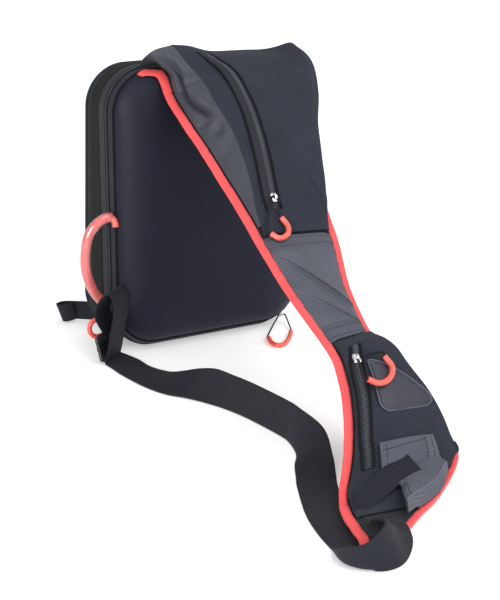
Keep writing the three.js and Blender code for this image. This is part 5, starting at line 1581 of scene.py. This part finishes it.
class BAG_OT_pulls(bpy.types.Operator):
    """Zip sliders with their cords and red sleeves"""

    bl_idname = "bag.pulls"
    bl_label = "Zip Pulls"

    def execute(self, context):
        heights = {"yoke": yoke_height, "lower": lower_height}
        for name, ((row, over), sleeve) in STRAP_PULLS.items():
            s, across, lift = np.array(sleeve).T
            spots = strap_point(s, across, heights[name](s, across) + lift)
            seat, normal = on_cloth(heights[name], np.array([row - 0.1, row, row + 0.1]), over, STRAP_SEAT)
            self.pull(name, seat[1], unit(seat[2] - seat[0]), normal[1], spots)
        radius = CORNER + COIL[1:]
        for name, (corner, angle, sleeve) in BAG_PULLS.items():
            x, z = np.cos(np.radians(angle)), np.sin(np.radians(angle))
            out = unit(np.array([x / radius[0], 0, z / radius[1]]))
            seat = np.array([corner[0] * HALF[0] + radius[0] * x, SEAM_Y + COIL[0],
                             MIDDLE + corner[1] * HALF[1] + radius[1] * z]) + out * BAG_SEAT
            self.pull(name, seat, np.array([-out[2], 0, out[0]]), out, np.array(sleeve, float))
        return {"FINISHED"}

    def pull(self, name, seat, ahead, out, sleeve):
        """A slider plate, the bridge over it, and a sleeve on a cord that turns through the bridge."""
        size = sizes()
        side = np.cross(ahead, out)
        turn = np.linspace(0, 2 * np.pi, 36, endpoint=False)
        ring = pair(np.cos(turn), np.sin(turn))
        ring = np.sign(ring) * np.abs(ring) ** SLIDER_SQUARE * np.array(SLIDER_HALF)
        flat = SLIDER_LAYERS[:, None, :1] * ring[None]
        points = seat + flat[..., :1] * ahead + flat[..., 1:] * side + SLIDER_LAYERS[:, None, 1:] * out
        grid_piece(f"slider_plate_{name}", points, "chrome", [f"slider_{name}"], "chrome",
                   tube=True, caps=True)
        bridge = smooth_path(seat + SLIDER_BRIDGE[:, :1] * ahead + SLIDER_BRIDGE[:, 1:] * out, 30)
        points = carry(bridge, circle(1.0, 10) * np.array(BRIDGE_SHAPE), np.repeat(side[None], 30, axis=0))
        bar(f"slider_bridge_{name}", points, "chrome", slot="chrome")
        line = smooth_path(sleeve, 60)
        item = rod(f"sleeve_{name}", line, size.sleeve_radius, "sleeve", 18,
                   nodes=[f"pull_sleeve_{name}"], slot="red_sleeve")
        first = line[0] + unit(line[0] - line[1]) * CORD_LEAD
        last = line[-1] + unit(line[-1] - line[-2]) * CORD_LEAD
        window = seat + out * CORD_WINDOW
        down = unit((first + last) / 2 - window)
        apart = unit((first - last) - ((first - last) * down).sum() * down)
        bend = np.radians(np.linspace(75, -75, 9))[:, None]
        arc = window + CORD_BEND * (down * (1 - np.cos(bend)) + apart * np.sin(bend))
        path = np.concatenate([line[[3, 0]], first[None], arc, last[None], line[[-1, -4]]])
        path = smooth_path(path, 110)
        cord = rod(f"cord_{name}", path, size.cord_radius, "cord", 10,
                   nodes=[f"pull_cord_{name}"], slot="cord")
        whole_length(path) * MM


# Stage

class BAG_OT_stage(bpy.types.Operator):
    """Floor, lights and camera"""

    bl_idname = "bag.stage"
    bl_label = "Stage"

    def execute(self, context):
        scene, stage = context.scene, context.scene.bag_stage
        ends = (-FLOOR_REACH, FLOOR_REACH)
        grid = np.array([[x, y, FLOOR_HIGH] for y in ends[::-1] for x in ends])
        mesh = fill_mesh("floor", grid, np.array([[0, 2, 3, 1]]))
        mesh.materials.append(start_material(
            "floor_paper", 0.8, Base_Color=(*stage.floor, 1), Emission_Color=(1, 1, 1, 1),
            Emission_Strength=stage.glow,
        )[0])
        self.add("floor", mesh)
        world = bpy.data.worlds.new("surroundings")
        world.use_nodes = True
        sky = world.node_tree.nodes["Background"].inputs
        sky["Color"].default_value, sky["Strength"].default_value = (1, 1, 1, 1), stage.sky
        scene.world = world
        scene.view_settings.view_transform = "Standard"
        self.sun("key", unit(KEY_FROM), stage.key, stage.spread)
        self.softbox("side", SIDE_AT, SIDE_WIDE, stage.side)
        self.softbox("card", CARD_AT, CARD_WIDE, stage.card).visible_diffuse = False
        self.camera(scene)
        return {"FINISHED"}

    def add(self, name, data):
        """Puts an object in the scene."""
        item = bpy.data.objects.new(name, data)
        bpy.context.scene.collection.objects.link(item)
        return item

    def sun(self, name, back, strength, spread):
        """A broad light from far away, as from a large diffuser."""
        light = bpy.data.lights.new(name, "SUN")
        light.energy, light.angle = strength, spread
        self.set_pose(self.add(name, light), unit(np.cross(UP, back)), back, back * 2)

    def softbox(self, name, at, wide, power):
        """A square light that faces the bag."""
        light = bpy.data.lights.new(name, "AREA")
        light.energy, light.size = power, wide
        item = self.add(name, light)
        back = unit(np.array(at) - LIT_PLACE)
        self.set_pose(item, unit(np.cross(UP, back)), back, at)
        return item

    def camera(self, scene):
        """The viewpoint: turned by a yaw about Z and tipped down by a pitch."""
        lens = bpy.data.cameras.new("camera")
        lens.lens, lens.sensor_width, lens.sensor_fit = CAMERA_LENS, SENSOR_WIDE, "AUTO"
        lens.clip_end = VIEW_FAR
        scene.camera = self.add("camera", lens)
        yaw, pitch = CAMERA_YAW, CAMERA_PITCH
        right = np.array([np.cos(yaw), np.sin(yaw), 0])
        back = np.array([np.sin(yaw) * np.cos(pitch), -np.cos(yaw) * np.cos(pitch), np.sin(pitch)])
        self.set_pose(scene.camera, right, back, CAMERA_AT * MM)

    def set_pose(self, item, right, back, at):
        """Stands an object at a place, with its X axis to the right and its Z axis backwards."""
        axes = np.eye(4)
        axes[:3] = np.stack([right, np.cross(back, right), back, np.array(at)], 1)
        item.matrix_world = Matrix(axes.tolist())


OPERATORS = (
    BAG_OT_stage, BAG_OT_pulls, BAG_OT_shell, BAG_OT_sides, BAG_OT_grip, BAG_OT_strap, BAG_OT_yoke,
    BAG_OT_middle, BAG_OT_chest, BAG_OT_pouch, BAG_OT_webbing, BAG_OT_adjuster,
)


class VIEW3D_PT_sling_bag(bpy.types.Panel):
    """Lists the bag's builders and its settings"""

    bl_label = "Sling Bag"
    bl_idname = "VIEW3D_PT_sling_bag"
    bl_space_type = "VIEW_3D"
    bl_region_type = "UI"
    bl_category = "Sling Bag"

    def draw(self, context):
        for operator in OPERATORS:
            self.layout.operator(operator.bl_idname)
        for group in (context.scene.bag_colours, context.scene.bag_sizes, context.scene.bag_stage):
            box = self.layout.box()
            for key in type(group).__annotations__:
                box.prop(group, key)


GROUPS = {"bag_colours": BagColours, "bag_sizes": BagSizes, "bag_stage": StageSettings}
CLASSES = (*GROUPS.values(), *OPERATORS, VIEW3D_PT_sling_bag)


def register():
    for item in CLASSES:
        bpy.utils.register_class(item)
    for name, group in GROUPS.items():
        setattr(bpy.types.Scene, name, PointerProperty(type=group))


def unregister():
    for name in GROUPS:
        delattr(bpy.types.Scene, name)
    for item in reversed(CLASSES):
        bpy.utils.unregister_class(item)


def main():
    register()
    for operator in OPERATORS:
        getattr(bpy.ops.bag, operator.bl_idname.split(".")[1])()


if __name__ == "__main__":
    main()
